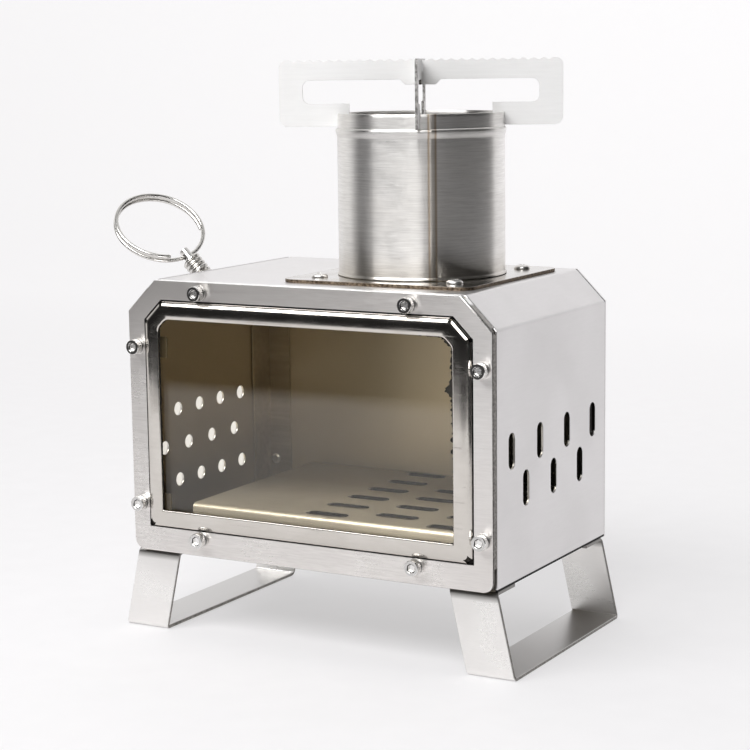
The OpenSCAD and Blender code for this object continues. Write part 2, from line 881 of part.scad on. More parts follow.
// A channel that stands on the rings' flanges, with rows of slots in every second place
module grate() {
    z_foot = z_bottom + 2 * sheet_t + grate_clear;
    len_x = grate_x1 - grate_x0;
    color("darkgray")
    difference() {
        union() {
            translate([grate_x0, grate_y0, z_grate - grate_t])
                cube([len_x, grate_y1 - grate_y0, grate_t]);
            for (y = [grate_y0, grate_y1 - grate_t])
                translate([grate_x0, y, z_foot])
                    cube([len_x, grate_t, z_grate - z_foot]);
        }
        for (c = [0:grate_cols], r = [0:grate_rows - c % 2])
            translate([
                grate_first + c * grate_col,
                grate_mid + (r - (grate_rows - c % 2) / 2) * grate_row,
                z_grate - grate_t - EPS
            ])
                linear_extrude(grate_t + 2 * EPS)
                    long_slot(grate_slot_l, grate_slot_w);
    }
}

// A strap bent into a flat foot, two splayed uprights and two flanges under the body
module leg(s) {
    x0 = leg_x0;
    x1 = half_w;
    color("lightgray")
    difference() {
        union() {
            for (y = [leg_y0, leg_y1 - leg_t])
                upright(y, leg_t)
                    polygon([
                        [s * (x0 + leg_splay), 0], [s * (x1 + leg_splay), 0],
                        [s * x1, z_bottom], [s * x0, z_bottom]
                    ]);
            translate([min(s * (x0 + leg_splay), s * (x1 + leg_splay)), leg_y0, 0])
                cube([leg_w, leg_y1 - leg_y0, leg_t]);
            for (y = [leg_y0, leg_y1 - leg_flange])
                translate([min(s * x0, s * x1), y, z_bottom - leg_t])
                    cube([leg_w, leg_flange, leg_t]);
        }
        leg_holes(z_bottom - leg_t, leg_t);
    }
}

module left_leg() {
    leg(-1);
}

module right_leg() {
    leg(1);
}

module leg_rivets() {
    color("silver")
    for (p = leg_spots)
        translate([p[0], p[1], z_bottom - leg_t])
            rivet(leg_t + 2 * sheet_t);
}

// A knuckle of the hinge, from y = y0
module knuckle(y0) {
    translate([hinge_x, y0, hinge_z])
        rotate([-90, 0, 0])
            cylinder(d = knuckle_d, h = knuckle_len);
}

// The hole for the pin along the whole hinge
module pin_bore() {
    translate([hinge_x, y_side - hinge_len, hinge_z])
        rotate([-90, 0, 0])
            cylinder(d = pin_d + 2 * pin_clear, h = 2 * hinge_len);
}

module hinge_body_leaf() {
    y0 = y_side - hinge_len / 2;
    y2 = y_side + hinge_len / 2 - knuckle_len;
    color("dimgray")
    difference() {
        union() {
            for (y = [y0, y2]) {
                knuckle(y);
                translate([hinge_x, y, z_bottom - leaf_t])
                    cube([-ring_x + leaf_w - hinge_x, knuckle_len, leaf_t]);
            }
            translate([-ring_x, y0, z_bottom - leaf_t])
                cube([leaf_w, hinge_len, leaf_t]);
        }
        pin_bore();
    }
}

module hinge_pin() {
    color("silver")
    translate([hinge_x, y_side - hinge_len / 2, hinge_z])
        rotate([-90, 0, 0])
            cylinder(d = pin_d, h = hinge_len);
}

module hinge_door_leaf() {
    x_face = -half_w - door_gap;
    y1 = y_side - knuckle_len / 2;
    color("dimgray")
    difference() {
        union() {
            knuckle(y1);
            translate([x_face - leaf_t, y1, hinge_z])
                cube([leaf_t, knuckle_len, leaf_w]);
            translate([hinge_x, y1, hinge_z + hinge_r - leaf_t])
                cube([x_face - hinge_x, knuckle_len, leaf_t]);
            translate([x_face - leaf_t, y_side - hinge_len / 2, hinge_z + hinge_r + knuckle_gap])
                cube([leaf_t, hinge_len, leaf_w - hinge_r - knuckle_gap]);
        }
        pin_bore();
    }
}

// Perforated left side and left cut, bent from one sheet
module fuel_door() {
    outer = body_outline(-door_gap);
    inner = body_outline(door_in);
    color("whitesmoke")
    difference() {
        upright(door_y0, door_y1 - door_y0)
            polygon([
                [outer[5][0], door_low], outer[5], outer[4], inner[4], inner[5], [inner[5][0], door_low]
            ]);
        for (row = [-1, 0, 1], i = [0:3])
            translate([
                outer[5][0] - EPS,
                y_side - hole_front + (row == 0 ? -hole_stagger : hole_stagger)
                    + (i - 1.5) * (row == 0 ? hole_pitch_mid : hole_pitch),
                z_bottom + hole_row + row * hole_rise
            ])
                rotate([0, 90, 0])
                    cylinder(d = hole_d, h = sheet_t + 2 * EPS);
        on_handle()
            translate([0, 0, -2 * sheet_t])
                cylinder(d = stud_d + 2 * screw_clear, h = 3 * sheet_t);
    }
}

// Sets a child on the door's sloping face, with z out along the stud and y along the ring's hole
module on_handle() {
    translate(handle_base)
        rotate([0, -45, 0])
            rotate([0, 0, handle_turn])
                children();
}

module handle_stud() {
    color("silver")
    on_handle()
        difference() {
            translate([0, 0, -stud_in])
                cylinder(d = stud_d, h = stud_in + stud_out);
            translate([0, stud_d, ring_at])
                rotate([90, 0, 0])
                    cylinder(d = ring_wire + 2 * ring_clear, h = 2 * stud_d);
        }
}

module handle_nuts() {
    color("darkgray")
    on_handle()
        for (z = [-sheet_t - stud_nut_h, 0])
            translate([0, 0, z])
                difference() {
                    hex(stud_nut_af, stud_nut_h);
                    translate([0, 0, -EPS])
                        cylinder(d = stud_d + 2 * screw_clear, h = stud_nut_h + 2 * EPS);
                }
}

module handle_washer() {
    color("silver")
    on_handle()
        translate([0, 0, stud_nut_h])
            difference() {
                cylinder(d = washer_d, h = washer_t);
                translate([0, 0, -EPS])
                    cylinder(d = stud_d + 2 * screw_clear, h = washer_t + 2 * EPS);
            }
}

// Coil spring with a few rings of points in each turn
module handle_spring() {
    step = 360 / CURL_RINGS;
    last = CURL_RINGS * spring_turns;
    out = [for (i = [0:last]) [cos(step * i), sin(step * i), 0]];
    path = [for (i = [0:last]) spring_r * out[i] + [0, 0, spring_low + spring_pitch * i / CURL_RINGS]];
    echo(str("spring: least gap between turns ", least_gap(path, CURL_RINGS, spring_wire), " mm"));
    color("lightgray")
    on_handle()
        tube([for (i = [0:last]) wire_ring(path[i], out[i], [0, 0, 1], spring_wire)]);
}

// Split ring: it starts at the hole in the stud and runs round both ways
module handle_ring() {
    step = 360 / LOOP_RINGS;
    first = -round(ring_end_a / step);
    last = round(ring_end_b / step);
    out = [for (i = [first:last]) [0, sin(step * i), -cos(step * i)]];
    path = [
        for (i = [first:last]) ring_r * (out[i - first] + [0, 0, 1]) + [ring_pitch * i / LOOP_RINGS, 0, 0]
    ];
    echo(str("split ring: least gap between turns ", least_gap(path, LOOP_RINGS, ring_wire), " mm"));
    color("lightgray")
    on_handle()
        translate([0, 0, ring_at])
            rotate([0, -ring_droop, 0])
                tube([for (i = [0:last - first]) wire_ring(path[i], out[i], [1, 0, 0], ring_wire)]);
}

front_plate();
window_frame();
glass_gasket();
window_glass();
glass_clips();
front_screws();
flat_washers();
lock_washers();
front_nuts();
front_ring();
rear_ring();
body_wrap();
bottom_panel();
back_panel();
back_rivets();
chimney_flange();
flange_screws();
flange_nuts();
chimney_collar();
chimney_pipe();
pot_support_a();
pot_support_b();
grate();
left_leg();
right_leg();
leg_rivets();
hinge_body_leaf();
hinge_pin();
hinge_door_leaf();
fuel_door();
handle_stud();
handle_nuts();
handle_washer();
handle_spring();
handle_ring();
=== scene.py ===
import json
import math

import bmesh
import bpy
import numpy as np
from mathutils import Matrix, Vector

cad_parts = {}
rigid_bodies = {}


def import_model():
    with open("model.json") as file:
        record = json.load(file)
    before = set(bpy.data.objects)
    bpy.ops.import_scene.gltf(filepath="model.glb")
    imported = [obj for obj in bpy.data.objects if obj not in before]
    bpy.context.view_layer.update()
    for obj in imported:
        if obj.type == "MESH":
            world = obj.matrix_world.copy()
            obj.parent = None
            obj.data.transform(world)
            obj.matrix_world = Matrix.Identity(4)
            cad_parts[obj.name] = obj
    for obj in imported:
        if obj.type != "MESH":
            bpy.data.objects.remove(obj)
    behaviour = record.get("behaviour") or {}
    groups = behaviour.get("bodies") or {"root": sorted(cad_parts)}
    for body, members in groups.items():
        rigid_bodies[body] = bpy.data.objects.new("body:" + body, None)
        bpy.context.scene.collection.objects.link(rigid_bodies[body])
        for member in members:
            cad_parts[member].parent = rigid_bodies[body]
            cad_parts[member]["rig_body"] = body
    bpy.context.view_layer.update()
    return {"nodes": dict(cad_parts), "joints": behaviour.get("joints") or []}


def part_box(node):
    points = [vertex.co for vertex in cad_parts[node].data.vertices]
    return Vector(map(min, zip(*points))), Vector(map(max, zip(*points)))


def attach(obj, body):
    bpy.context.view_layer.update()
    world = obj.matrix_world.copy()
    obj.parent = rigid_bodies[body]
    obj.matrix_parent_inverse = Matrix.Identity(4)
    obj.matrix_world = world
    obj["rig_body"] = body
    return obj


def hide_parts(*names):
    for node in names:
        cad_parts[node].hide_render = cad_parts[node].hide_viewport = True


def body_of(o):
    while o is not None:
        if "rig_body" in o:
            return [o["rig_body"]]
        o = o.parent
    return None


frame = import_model()
nodes = frame["nodes"]
joints = {joint["name"]: joint for joint in frame["joints"]}
mm = 0.001
alongX, alongY, alongZ = (1, 0, 0), (0, 1, 0), (0, 0, 1)


def newObject(name, data):
    thing = bpy.data.objects.new(name, data)
    bpy.context.scene.collection.objects.link(thing)
    return thing


# camera: stands to the right of the window and looks a little down
cameraSet = dict(azimuth=29.504, elevation=8.8356, roll=-0.7238, distance=0.88156,
                 target=(0.002741, 0.0, 0.110972), lens=96.92, sensor=36.0, clip=(0.01, 20))


def makeCamera(look):
    # forward from azimuth and elevation; right and up turned by the roll about it
    az, el, roll = (math.radians(look[key]) for key in ("azimuth", "elevation", "roll"))
    forward = Vector((-math.sin(az) * math.cos(el), math.cos(az) * math.cos(el), -math.sin(el)))
    right = forward.cross(Vector(alongZ)).normalized()
    up = right.cross(forward)
    right, up = right * math.cos(roll) + up * math.sin(roll), up * math.cos(roll) - right * math.sin(roll)
    data = bpy.data.cameras.new("camera")
    data.lens, data.sensor_width = look["lens"], look["sensor"]
    data.clip_start, data.clip_end = look["clip"]
    camera = newObject("camera", data)
    turn = Matrix((right, up, -forward)).transposed().to_4x4()
    camera.matrix_world = Matrix.Translation(Vector(look["target"]) - forward * look["distance"]) @ turn
    bpy.context.scene.camera = camera


makeCamera(cameraSet)
print("camera: set")


# mesh helpers
meshSet = dict(weld=1e-7, sheetWeld=1e-6, flatAngle=0.2, edgeAngle=40, bendSteps=5, edgeSteps=2,
               flatWeight=90)


def unit(vectors):
    return vectors / np.linalg.norm(vectors, axis=-1, keepdims=True)


def corners(node):
    low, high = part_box(node)
    return np.array(low), np.array(high)


def edgeAt(node, side):
    # one side of a solid's box, such as "-y" or "+z"
    return float(corners(node)["-+".index(side[0])]["xyz".index(side[1])])


def circle(count):
    return np.arange(count) * 2 * math.pi / count


def polar(radius, angles, height):
    return np.stack([radius * np.cos(angles), radius * np.sin(angles), height], -1)


def gridFaces(rows, cols, closeRows, closeCols):
    # each face joins a point of the grid to the next in its row and the two beside them in the next row
    i, j = np.meshgrid(np.arange(rows - (not closeRows)), np.arange(cols - (not closeCols)), indexing="ij")
    down, over = (i + 1) % rows, (j + 1) % cols
    return np.stack([i * cols + j, i * cols + over, down * cols + over, down * cols + j], -1).reshape(-1, 4)


def surface(grid, closeRows=False):
    # a grid of points as a shell; rows that don't close are capped by their first and last row
    rows, cols = grid.shape[:2]
    caps = [] if closeRows else [np.arange(cols)[::-1], np.arange(cols) + (rows - 1) * cols]
    return grid.reshape(-1, 3), gridFaces(rows, cols, closeRows, True), caps


def joined(shells):
    # several shells as one: each shell's numbers start after the points before it
    starts = np.cumsum([0] + [len(points) for points, quads, caps in shells])
    points = np.concatenate([shell[0] for shell in shells])
    quads = np.concatenate([shell[1] + start for shell, start in zip(shells, starts)])
    caps = [cap + start for shell, start in zip(shells, starts) for cap in shell[2]]
    return points, quads, caps


def read(items, key, width=1, kind=np.float32):
    # a row of width values for each item of a mesh
    values = np.empty(len(items) * width, kind)
    items.foreach_get(key, values)
    return values.reshape(-1, width)


def smooth(mesh):
    mesh.polygons.foreach_set("use_smooth", np.ones(len(mesh.polygons), bool))


def addGrainUv(mesh):
    # u runs up an upright face and v across it, so that brushing can lie level
    sizes = read(mesh.polygons, "loop_total", kind=np.int32)[:, 0]
    facing = np.repeat(np.abs(read(mesh.polygons, "normal", 3)).argmax(1), sizes)
    at = read(mesh.vertices, "co", 3)[read(mesh.loops, "vertex_index", kind=np.int32)[:, 0]]
    uv = np.stack([np.where(facing == 2, at[:, 1], at[:, 2]), np.where(facing == 0, at[:, 1], at[:, 0])], 1)
    mesh.uv_layers.new(name="grain").data.foreach_set("uv", uv.astype(np.float32).ravel())


def showPiece(name, mesh, finish, node):
    # the piece rides on the body of the solid that it replaces
    addGrainUv(mesh)
    mesh.materials.append(finish)
    piece = newObject(name, mesh)
    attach(piece, body_of(nodes[node])[0])
    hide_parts(node)
    return piece


def shellPiece(name, shell, finish, node, crease=32):
    # a worked-out shell, with its faces turned outwards and edges sharper than crease kept sharp
    points, quads, caps = shell
    mesh = bpy.data.meshes.new(name)
    mesh.from_pydata(points.tolist(), [], quads.tolist() + [cap.tolist() for cap in caps])
    work = bmesh.new()
    work.from_mesh(mesh)
    bmesh.ops.remove_doubles(work, verts=work.verts, dist=meshSet["weld"])
    bmesh.ops.recalc_face_normals(work, faces=work.faces)
    work.to_mesh(mesh)
    work.free()
    smooth(mesh)
    mesh.set_sharp_from_angle(angle=math.radians(crease))
    showPiece(name, mesh, finish, node)


def addBevel(piece, name, width, segments, limit):
    bevel = piece.modifiers.new(name, "BEVEL")
    bevel.width, bevel.segments, bevel.limit_method = width * mm, segments, limit
    bevel.angle_limit, bevel.use_clamp_overlap = math.radians(meshSet["edgeAngle"]), limit == "ANGLE"


def sheetPiece(name, node, finish, slot, edge, bend=0.0, onBend=None):
    # the solid's own sheet: bends are rounded by bend, and every cut edge is broken by edge, in millimetres
    work = bmesh.new()
    work.from_mesh(nodes[node].data)
    bmesh.ops.remove_doubles(work, verts=work.verts, dist=meshSet["sheetWeld"])
    flat = math.radians(meshSet["flatAngle"])
    bmesh.ops.dissolve_limit(work, angle_limit=flat, verts=work.verts, edges=work.edges)
    mesh = bpy.data.meshes.new(name)
    work.to_mesh(mesh)
    work.free()
    if "custom_normal" in mesh.attributes:
        mesh.attributes.remove(mesh.attributes["custom_normal"])
    mesh.materials.clear()
    smooth(mesh)
    piece = showPiece(name, mesh, finish, node)
    if onBend:
        ends = read(mesh.edges, "vertices", 2, np.int32)
        first, second = read(mesh.vertices, "co", 3)[ends].transpose(1, 0, 2)
        weight = mesh.attributes.new("bevel_weight_edge", "FLOAT", "EDGE")
        weight.data.foreach_set("value", onBend(first, second).astype(np.float32))
        addBevel(piece, "bend", bend, meshSet["bendSteps"], "WEIGHT")
    addBevel(piece, "edge", edge, meshSet["edgeSteps"], "ANGLE")
    keep = piece.modifiers.new("flatFaces", "WEIGHTED_NORMAL")
    keep.mode, keep.weight, keep.keep_sharp = "FACE_AREA", meshSet["flatWeight"], True


def filleted(path, radius, steps, closed=True):
    # each corner gives way to an arc about a point one radius in from both of its sides
    before, onward = unit(path - np.roll(path, 1, 0)), unit(np.roll(path, -1, 0) - path)
    left = np.stack([-before[:, 1], before[:, 0]], 1)
    turn = np.arctan2((left * onward).sum(1), (before * onward).sum(1))
    side, radius = np.sign(turn)[:, None], np.broadcast_to(radius, len(path))[:, None]
    middle = path - before * radius * np.tan(np.abs(turn) / 2)[:, None] + side * left * radius
    angle = turn[:, None] * np.linspace(0, 1, steps + 1)
    arm = (-side * left * radius)[:, None]
    swung = np.stack([arm[..., 0] * np.cos(angle) - arm[..., 1] * np.sin(angle),
                      arm[..., 0] * np.sin(angle) + arm[..., 1] * np.cos(angle)], -1)
    arcs = middle[:, None] + swung
    if closed:
        return arcs.reshape(-1, 2)
    return np.concatenate([path[:1], arcs[1:-1].reshape(-1, 2), path[-1:]])


def turned(profile, angles, outline=1.0):
    # a profile of (radius, height) turned about z; outline stretches the radius by row and angle
    radius = profile[:, :1] * outline * np.ones(len(angles))
    return polar(radius, angles, np.broadcast_to(profile[:, 1:2], radius.shape))


def hexOutline(angles):
    # distance from the middle of a hexagon of unit half width to its sides
    return 1 / np.cos((angles + math.pi / 6) % (math.pi / 3) - math.pi / 6)


def tube(path, across, radius, sides=16, taper=0.82):
    # a round wire along a path: each ring of points stands square to the path, and both ends taper
    along = unit(np.gradient(path, axis=0))
    first = unit(across - (across * along).sum(1, keepdims=True) * along)
    second = np.cross(along, first)
    angles = circle(sides)[:, None]
    reach = np.full(len(path), radius)
    reach[[0, -1]] *= taper
    ring = first[:, None] * np.cos(angles) + second[:, None] * np.sin(angles)
    return path[:, None] + ring * reach[:, None, None]


# node helpers
def fill(node, values):
    # links sockets and sets plain values; a colour of three numbers gets its alpha
    for key, value in dict(values).items():
        socket = node.inputs[key]
        if isinstance(value, bpy.types.NodeSocket):
            node.id_data.links.new(value, socket)
        else:
            socket.default_value = (*value, 1) if socket.type == "RGBA" else value


def add(tree, kind, values=(), **settings):
    node = tree.nodes.new("ShaderNode" + kind)
    for key, value in settings.items():
        setattr(node, key, value)
    fill(node, values)
    return node


def after(kind, values, **settings):
    # a node in the tree of the first socket that it takes
    tree = next(value.id_data for value in values.values() if isinstance(value, bpy.types.NodeSocket))
    return add(tree, kind, values, **settings)


def ranged(value, low, high, toLow=0.0, toHigh=1.0):
    return after("MapRange", {0: value, 1: low, 2: high, 3: toLow, 4: toHigh}).outputs[0]


def math2(operation, first, second=0.0):
    return after("Math", {0: first, 1: second}, operation=operation).outputs[0]


def times(first, *others):
    for other in others:
        first = math2("MULTIPLY", first, other)
    return first


def dot(first, second):
    return after("VectorMath", {0: first, 1: second}, operation="DOT_PRODUCT").outputs["Value"]


def minus(first, second):
    return after("VectorMath", {0: first, 1: second}, operation="SUBTRACT").outputs[0]


def mixed(amount, first, second):
    return after("Mix", {0: amount, 2: first, 3: second}).outputs[0]


def blendColors(amount, first, second):
    return after("Mix", {0: amount, 6: first, 7: second}, data_type="RGBA").outputs[2]


def spotIn(tree):
    return add(tree, "TexCoord").outputs["Object"]


def axesOf(vector):
    return after("SeparateXYZ", {0: vector}).outputs


def noise(spot, scale, detail, **more):
    return after("TexNoise", {"Vector": spot, "Scale": scale, "Detail": detail, **more}).outputs[0]


# shader groups
groups = {}


def newGroup(name, inputs, outputs):
    tree = groups[name] = bpy.data.node_groups.new(name, "ShaderNodeTree")
    for socket, value in inputs.items():
        kind = "NodeSocketVector" if isinstance(value, tuple) else "NodeSocketFloat"
        tree.interface.new_socket(socket, in_out="INPUT", socket_type=kind).default_value = value
    for socket in outputs:
        tree.interface.new_socket(socket, in_out="OUTPUT", socket_type="NodeSocketFloat")
    return tree, tree.nodes.new("NodeGroupInput").outputs, tree.nodes.new("NodeGroupOutput")


def makeBrushing():
    # long thin noise: Grain is each stroke, Streaks are bundles of strokes, Height is for bump
    tree, given, out = newGroup("brushing", {"Scale": (60, 3000, 3000)}, ["Grain", "Streaks", "Height"])
    strokes = after("Mapping", {"Vector": spotIn(tree), "Scale": given["Scale"]}).outputs[0]
    bundles = after("VectorMath", {0: strokes, "Scale": 0.4}, operation="SCALE").outputs[0]
    fine = noise(strokes, 1.0, 3.0, Roughness=0.7)
    broad = noise(bundles, 1.0, 2.0, Roughness=0.6)
    fill(out, {"Grain": ranged(fine, 0.3, 0.7), "Streaks": ranged(broad, 0.33, 0.67),
               "Height": math2("ADD", times(fine, 0.7), times(broad, 0.3))})


def makeSmudges():
    # soft clouds of handling marks, Size of them to a metre, cut just above the noise's middle
    tree, given, out = newGroup("smudges", {"Size": 40.0, "Edge": 0.12}, ["Mask"])
    level = 0.52
    cloud = noise(spotIn(tree), given["Size"], 5.0, Roughness=0.55, Distortion=0.4)
    low, high = (math2(way, level, given["Edge"]) for way in ("SUBTRACT", "ADD"))
    fill(out, {"Mask": ranged(cloud, low, high)})


def makeScratches():
    # a few thin strokes where stretched noise peaks
    tree, given, out = newGroup("scratches", {"Scale": (25, 1100, 1100), "Turn": (0.5, 0.4, 0.3)}, ["Mask"])
    placing = {"Vector": spotIn(tree), "Rotation": given["Turn"], "Scale": given["Scale"]}
    strokes = noise(after("Mapping", placing).outputs[0], 1.0, 1.0)
    fill(out, {"Mask": ranged(strokes, 0.68, 0.74)})


def makeFacing():
    # Mask rises as a face turns to look along Direction, either way; Speckle is for raw cut edges
    tree, given, out = newGroup("facing", {"Direction": alongZ, "Low": 0.6, "High": 0.8}, ["Mask", "Speckle"])
    place = add(tree, "TexCoord").outputs
    turn = math2("ABSOLUTE", dot(place["Normal"], given["Direction"]))
    fill(out, {"Mask": ranged(turn, given["Low"], given["High"]),
               "Speckle": ranged(noise(place["Object"], 900.0, 3.0), 0.35, 0.65)})


def makeInwards():
    # 1 on faces that look towards Middle, which is the inside of the firebox, but not up
    tree, given, out = newGroup("inwards", {"Middle": (0, 0, 0)}, ["Mask"])
    place = add(tree, "TexCoord").outputs
    side = dot(minus(given["Middle"], place["Object"]), place["Normal"])
    notUp = ranged(axesOf(place["Normal"])[2], 0.2, 0.4, 1.0, 0.0)
    fill(out, {"Mask": times(ranged(side, 0.0, 4 * mm), notUp)})


def makeRise():
    # goes from 0 at height Low to 1 at height High
    tree, given, out = newGroup("rise", {"Low": 0.0, "High": 0.1}, ["Mask"])
    height = axesOf(spotIn(tree))[2]
    fill(out, {"Mask": ranged(height, given["Low"], given["High"])})


def makeRightRearRamp():
    # goes from 0 to 1 towards the right rear corner of the firebox, below the chimney
    tree, given, out = newGroup("rightRearRamp", {"From": 0.042, "To": 0.058}, ["Mask"])
    slope = 0.566
    x, y, z = axesOf(spotIn(tree))
    towards = math2("ADD", x, times(y, slope))
    fill(out, {"Mask": ranged(towards, given["From"], given["To"])})


for makeGroup in (makeBrushing, makeSmudges, makeScratches, makeFacing, makeInwards, makeRise,
                  makeRightRearRamp):
    makeGroup()
print("shader groups:", ", ".join(groups))


def use(tree, name, **values):
    node = add(tree, "Group", node_tree=groups[name])
    fill(node, values)
    return node.outputs


def facingMask(tree, direction, low=0.6, high=0.8):
    return use(tree, "facing", Direction=direction, Low=low, High=high)["Mask"]


def newMaterial(name):
    material = bpy.data.materials.new(name)
    material.use_nodes = True
    return material, material.node_tree, material.node_tree.nodes["Principled BSDF"]


# materials: strokes to a metre, smudges to a metre, colours, ends of the roughness, strength of the bump
def makeLook(strokes, smudges, dark, light, soil, rough, bump, **more):
    look = dict(strokes=strokes, smudges=smudges, dark=dark, light=light, soil=soil, rough=rough, bump=bump,
                metallic=1.0, anisotropic=0.0, stain=0.35, haze=0.05, scratch=0.12, relief=0.04 * mm)
    return {**look, **more}


def steel(name, look):
    # brushed or polished stainless: strokes and smudges change its tone and gloss
    material, tree, shader = newMaterial(name)
    brush = use(tree, "brushing", Scale=look["strokes"])
    smudge = use(tree, "smudges", Size=look["smudges"])["Mask"]
    scratch = use(tree, "scratches")["Mask"]
    tone = blendColors(mixed(0.5, brush["Streaks"], brush["Grain"]), look["dark"], look["light"])
    tone = blendColors(times(smudge, look["stain"]), tone, look["soil"])
    gloss = ranged(brush["Grain"], 0.0, 1.0, *look["rough"])
    for mask, key in ((smudge, "haze"), (scratch, "scratch")):
        gloss = math2("ADD", gloss, times(mask, look[key]))
    bump = after("Bump", {"Height": brush["Height"], "Strength": look["bump"], "Distance": look["relief"]})
    fill(shader, {"Metallic": look["metallic"], "Anisotropic": look["anisotropic"],
                  "Normal": bump.outputs[0], "Roughness": gloss, "Base Color": tone})
    if look["anisotropic"]:
        tangent = add(tree, "Tangent", direction_type="UV_MAP", uv_map="grain")
        fill(shader, {"Tangent": tangent.outputs[0]})
    return material, tree, shader, tone, gloss


frontLook = makeLook((200, 2700, 2700), 35.0, (0.74, 0.71, 0.685), (0.95, 0.92, 0.895), (0.78, 0.75, 0.72),
                     (0.24, 0.31), 0.08, anisotropic=0.85)
satinLook = makeLook((900, 300, 3000), 22.0, (0.76, 0.745, 0.745), (0.79, 0.775, 0.775), (0.73, 0.715, 0.71),
                     (0.32, 0.36), 0.04, anisotropic=0.3)
mirrorLook = makeLook((160, 1500, 1500), 60.0, (0.62, 0.59, 0.55), (0.66, 0.63, 0.59), (0.57, 0.535, 0.49),
                      (0.08, 0.12), 0.02)
pipeLook = makeLook((190, 190, 4400), 30.0, (0.64, 0.625, 0.605), (0.90, 0.885, 0.865), (0.68, 0.65, 0.61),
                    (0.27, 0.36), 0.10, anisotropic=0.93)
flangeLook = makeLook((60, 1800, 1800), 45.0, (0.56, 0.54, 0.515), (0.65, 0.63, 0.605), (0.46, 0.41, 0.35),
                      (0.12, 0.18), 0.06)
supportLook = makeLook((120, 120, 2400), 40.0, (0.92, 0.915, 0.91), (0.97, 0.965, 0.96), (0.87, 0.86, 0.845),
                       (0.48, 0.56), 0.1, metallic=0.2)
legLook = makeLook((330, 3000, 3000), 40.0, (0.90, 0.885, 0.865), (0.94, 0.925, 0.905), (0.86, 0.84, 0.815),
                   (0.26, 0.29), 0.005, anisotropic=0.4)
sootLook = makeLook((60, 900, 900), 28.0, (0.46, 0.40, 0.31), (0.60, 0.53, 0.42), (0.36, 0.31, 0.24),
                    (0.30, 0.42), 0.1, stain=0.4)
grateLook = makeLook((200, 1500, 1500), 30.0, (0.45, 0.436, 0.418), (0.52, 0.506, 0.485),
                     (0.39, 0.376, 0.355), (0.30, 0.38), 0.05, metallic=0.6)
# the floor under the grate is near-black: painted shade, so that the slots read dark
underShadeLook = makeLook((60, 900, 900), 40.0, (0.10, 0.085, 0.065), (0.15, 0.128, 0.098), (0.07, 0.06, 0.047),
                   (0.50, 0.62), 0.1, metallic=0.3)
# the glass clips' dark brown is painted shade, for clips that sit in shadow behind the glass
shadedClipLook = makeLook((300, 900, 900), 60.0, (0.19, 0.165, 0.125), (0.24, 0.208, 0.158), (0.16, 0.138, 0.105),
                    (0.55, 0.65), 0.1, metallic=0.4)
fastenerLook = makeLook((700, 700, 700), 160.0, (0.76, 0.745, 0.725), (0.86, 0.845, 0.825),
                        (0.66, 0.64, 0.615), (0.26, 0.36), 0.06)
screwLook = makeLook((700, 700, 700), 160.0, (0.86, 0.85, 0.835), (0.93, 0.92, 0.905), (0.76, 0.745, 0.72),
                     (0.20, 0.28), 0.04)
springLook = makeLook((700, 700, 700), 160.0, (0.24, 0.235, 0.225), (0.36, 0.35, 0.34), (0.20, 0.19, 0.18),
                      (0.30, 0.40), 0.04)
wireLook = makeLook((500, 500, 500), 120.0, (0.68, 0.665, 0.64), (0.80, 0.785, 0.76), (0.56, 0.54, 0.51),
                    (0.16, 0.26), 0.05)
# the near-black of a painted shadow in a gap
shadowGapBlack = (0.02, 0.019, 0.018)
# painted shade with a raw cut's speckle, for cut edges and side flanges that lie in shadow
shadedEdge = (0.16, 0.15, 0.14), (0.34, 0.325, 0.305)
dullEdge = (0.16, 0.155, 0.15), (0.50, 0.49, 0.475)
flangeEdge = (0.07, 0.05, 0.035), (0.30, 0.235, 0.17)


def overlaid(made, mask, color, rough):
    # lays another colour and roughness over a steel by a mask
    material, tree, shader, tone, gloss = made
    tone, gloss = blendColors(mask, tone, color), mixed(mask, gloss, rough)
    fill(shader, {"Base Color": tone, "Roughness": gloss})
    return material, tree, shader, tone, gloss


def edgedSteel(name, look, direction, edgeColors, edgeRough, edgesLookAlong=False):
    # a sheet whose cut edges are speckled and dull in edgeColors, which on the plate and the legs are painted
    # shade: those that look along direction, or all the others
    made = steel(name, look)
    tree = made[1]
    facing = use(tree, "facing", Direction=direction)
    mask = facing["Mask"] if edgesLookAlong else ranged(facing["Mask"], 0.0, 1.0, 1.0, 0.0)
    return overlaid(made, mask, blendColors(facing["Speckle"], *edgeColors), edgeRough)


# the seam's turn about the chimney and the weld's sizes, then (amount, colour) of what lies on the pipe
seamSet = dict(turn=math.radians(-54.7), half=1.45 * mm, line=0.35 * mm, rise=0.10 * mm, near=5 * mm,
               bead=(0.45, (0.60, 0.54, 0.46)), heat=(0.8, (0.36, 0.24, 0.13)),
               foot=(0.35, (0.50, 0.43, 0.34)), footHigh=12 * mm)
chimneyMiddle = sum(corners("chimney_pipe")) / 2


def makePipeSteel():
    # the weld seam, two straw-brown heat lines with a paler bead between them, and a warmer foot
    s, low = seamSet, edgeAt("chimney_pipe", "-z")
    material, tree, shader, tone, gloss = steel("pipeSteel", pipeLook)
    centred = minus(spotIn(tree), tuple(chimneyMiddle))
    swung = after("Mapping", {"Vector": centred, "Rotation": (0, 0, -s["turn"])}).outputs[0]
    out, aside, up = axesOf(swung)
    near, offset = ranged(out, 0.0, s["near"]), math2("ABSOLUTE", aside)
    line = math2("ABSOLUTE", math2("SUBTRACT", offset, s["half"]))
    bead = times(ranged(offset, 0.8 * s["half"], s["half"], 1.0, 0.0), near)
    heat = times(ranged(line, 0.0, 2 * s["line"], 1.0, 0.0), near)
    foot = use(tree, "rise", Low=low + s["footHigh"], High=low)["Mask"]
    for mask, (amount, color) in ((bead, s["bead"]), (heat, s["heat"]), (foot, s["foot"])):
        tone = blendColors(times(mask, amount), tone, color)
    fill(shader, {"Base Color": tone})
    return material


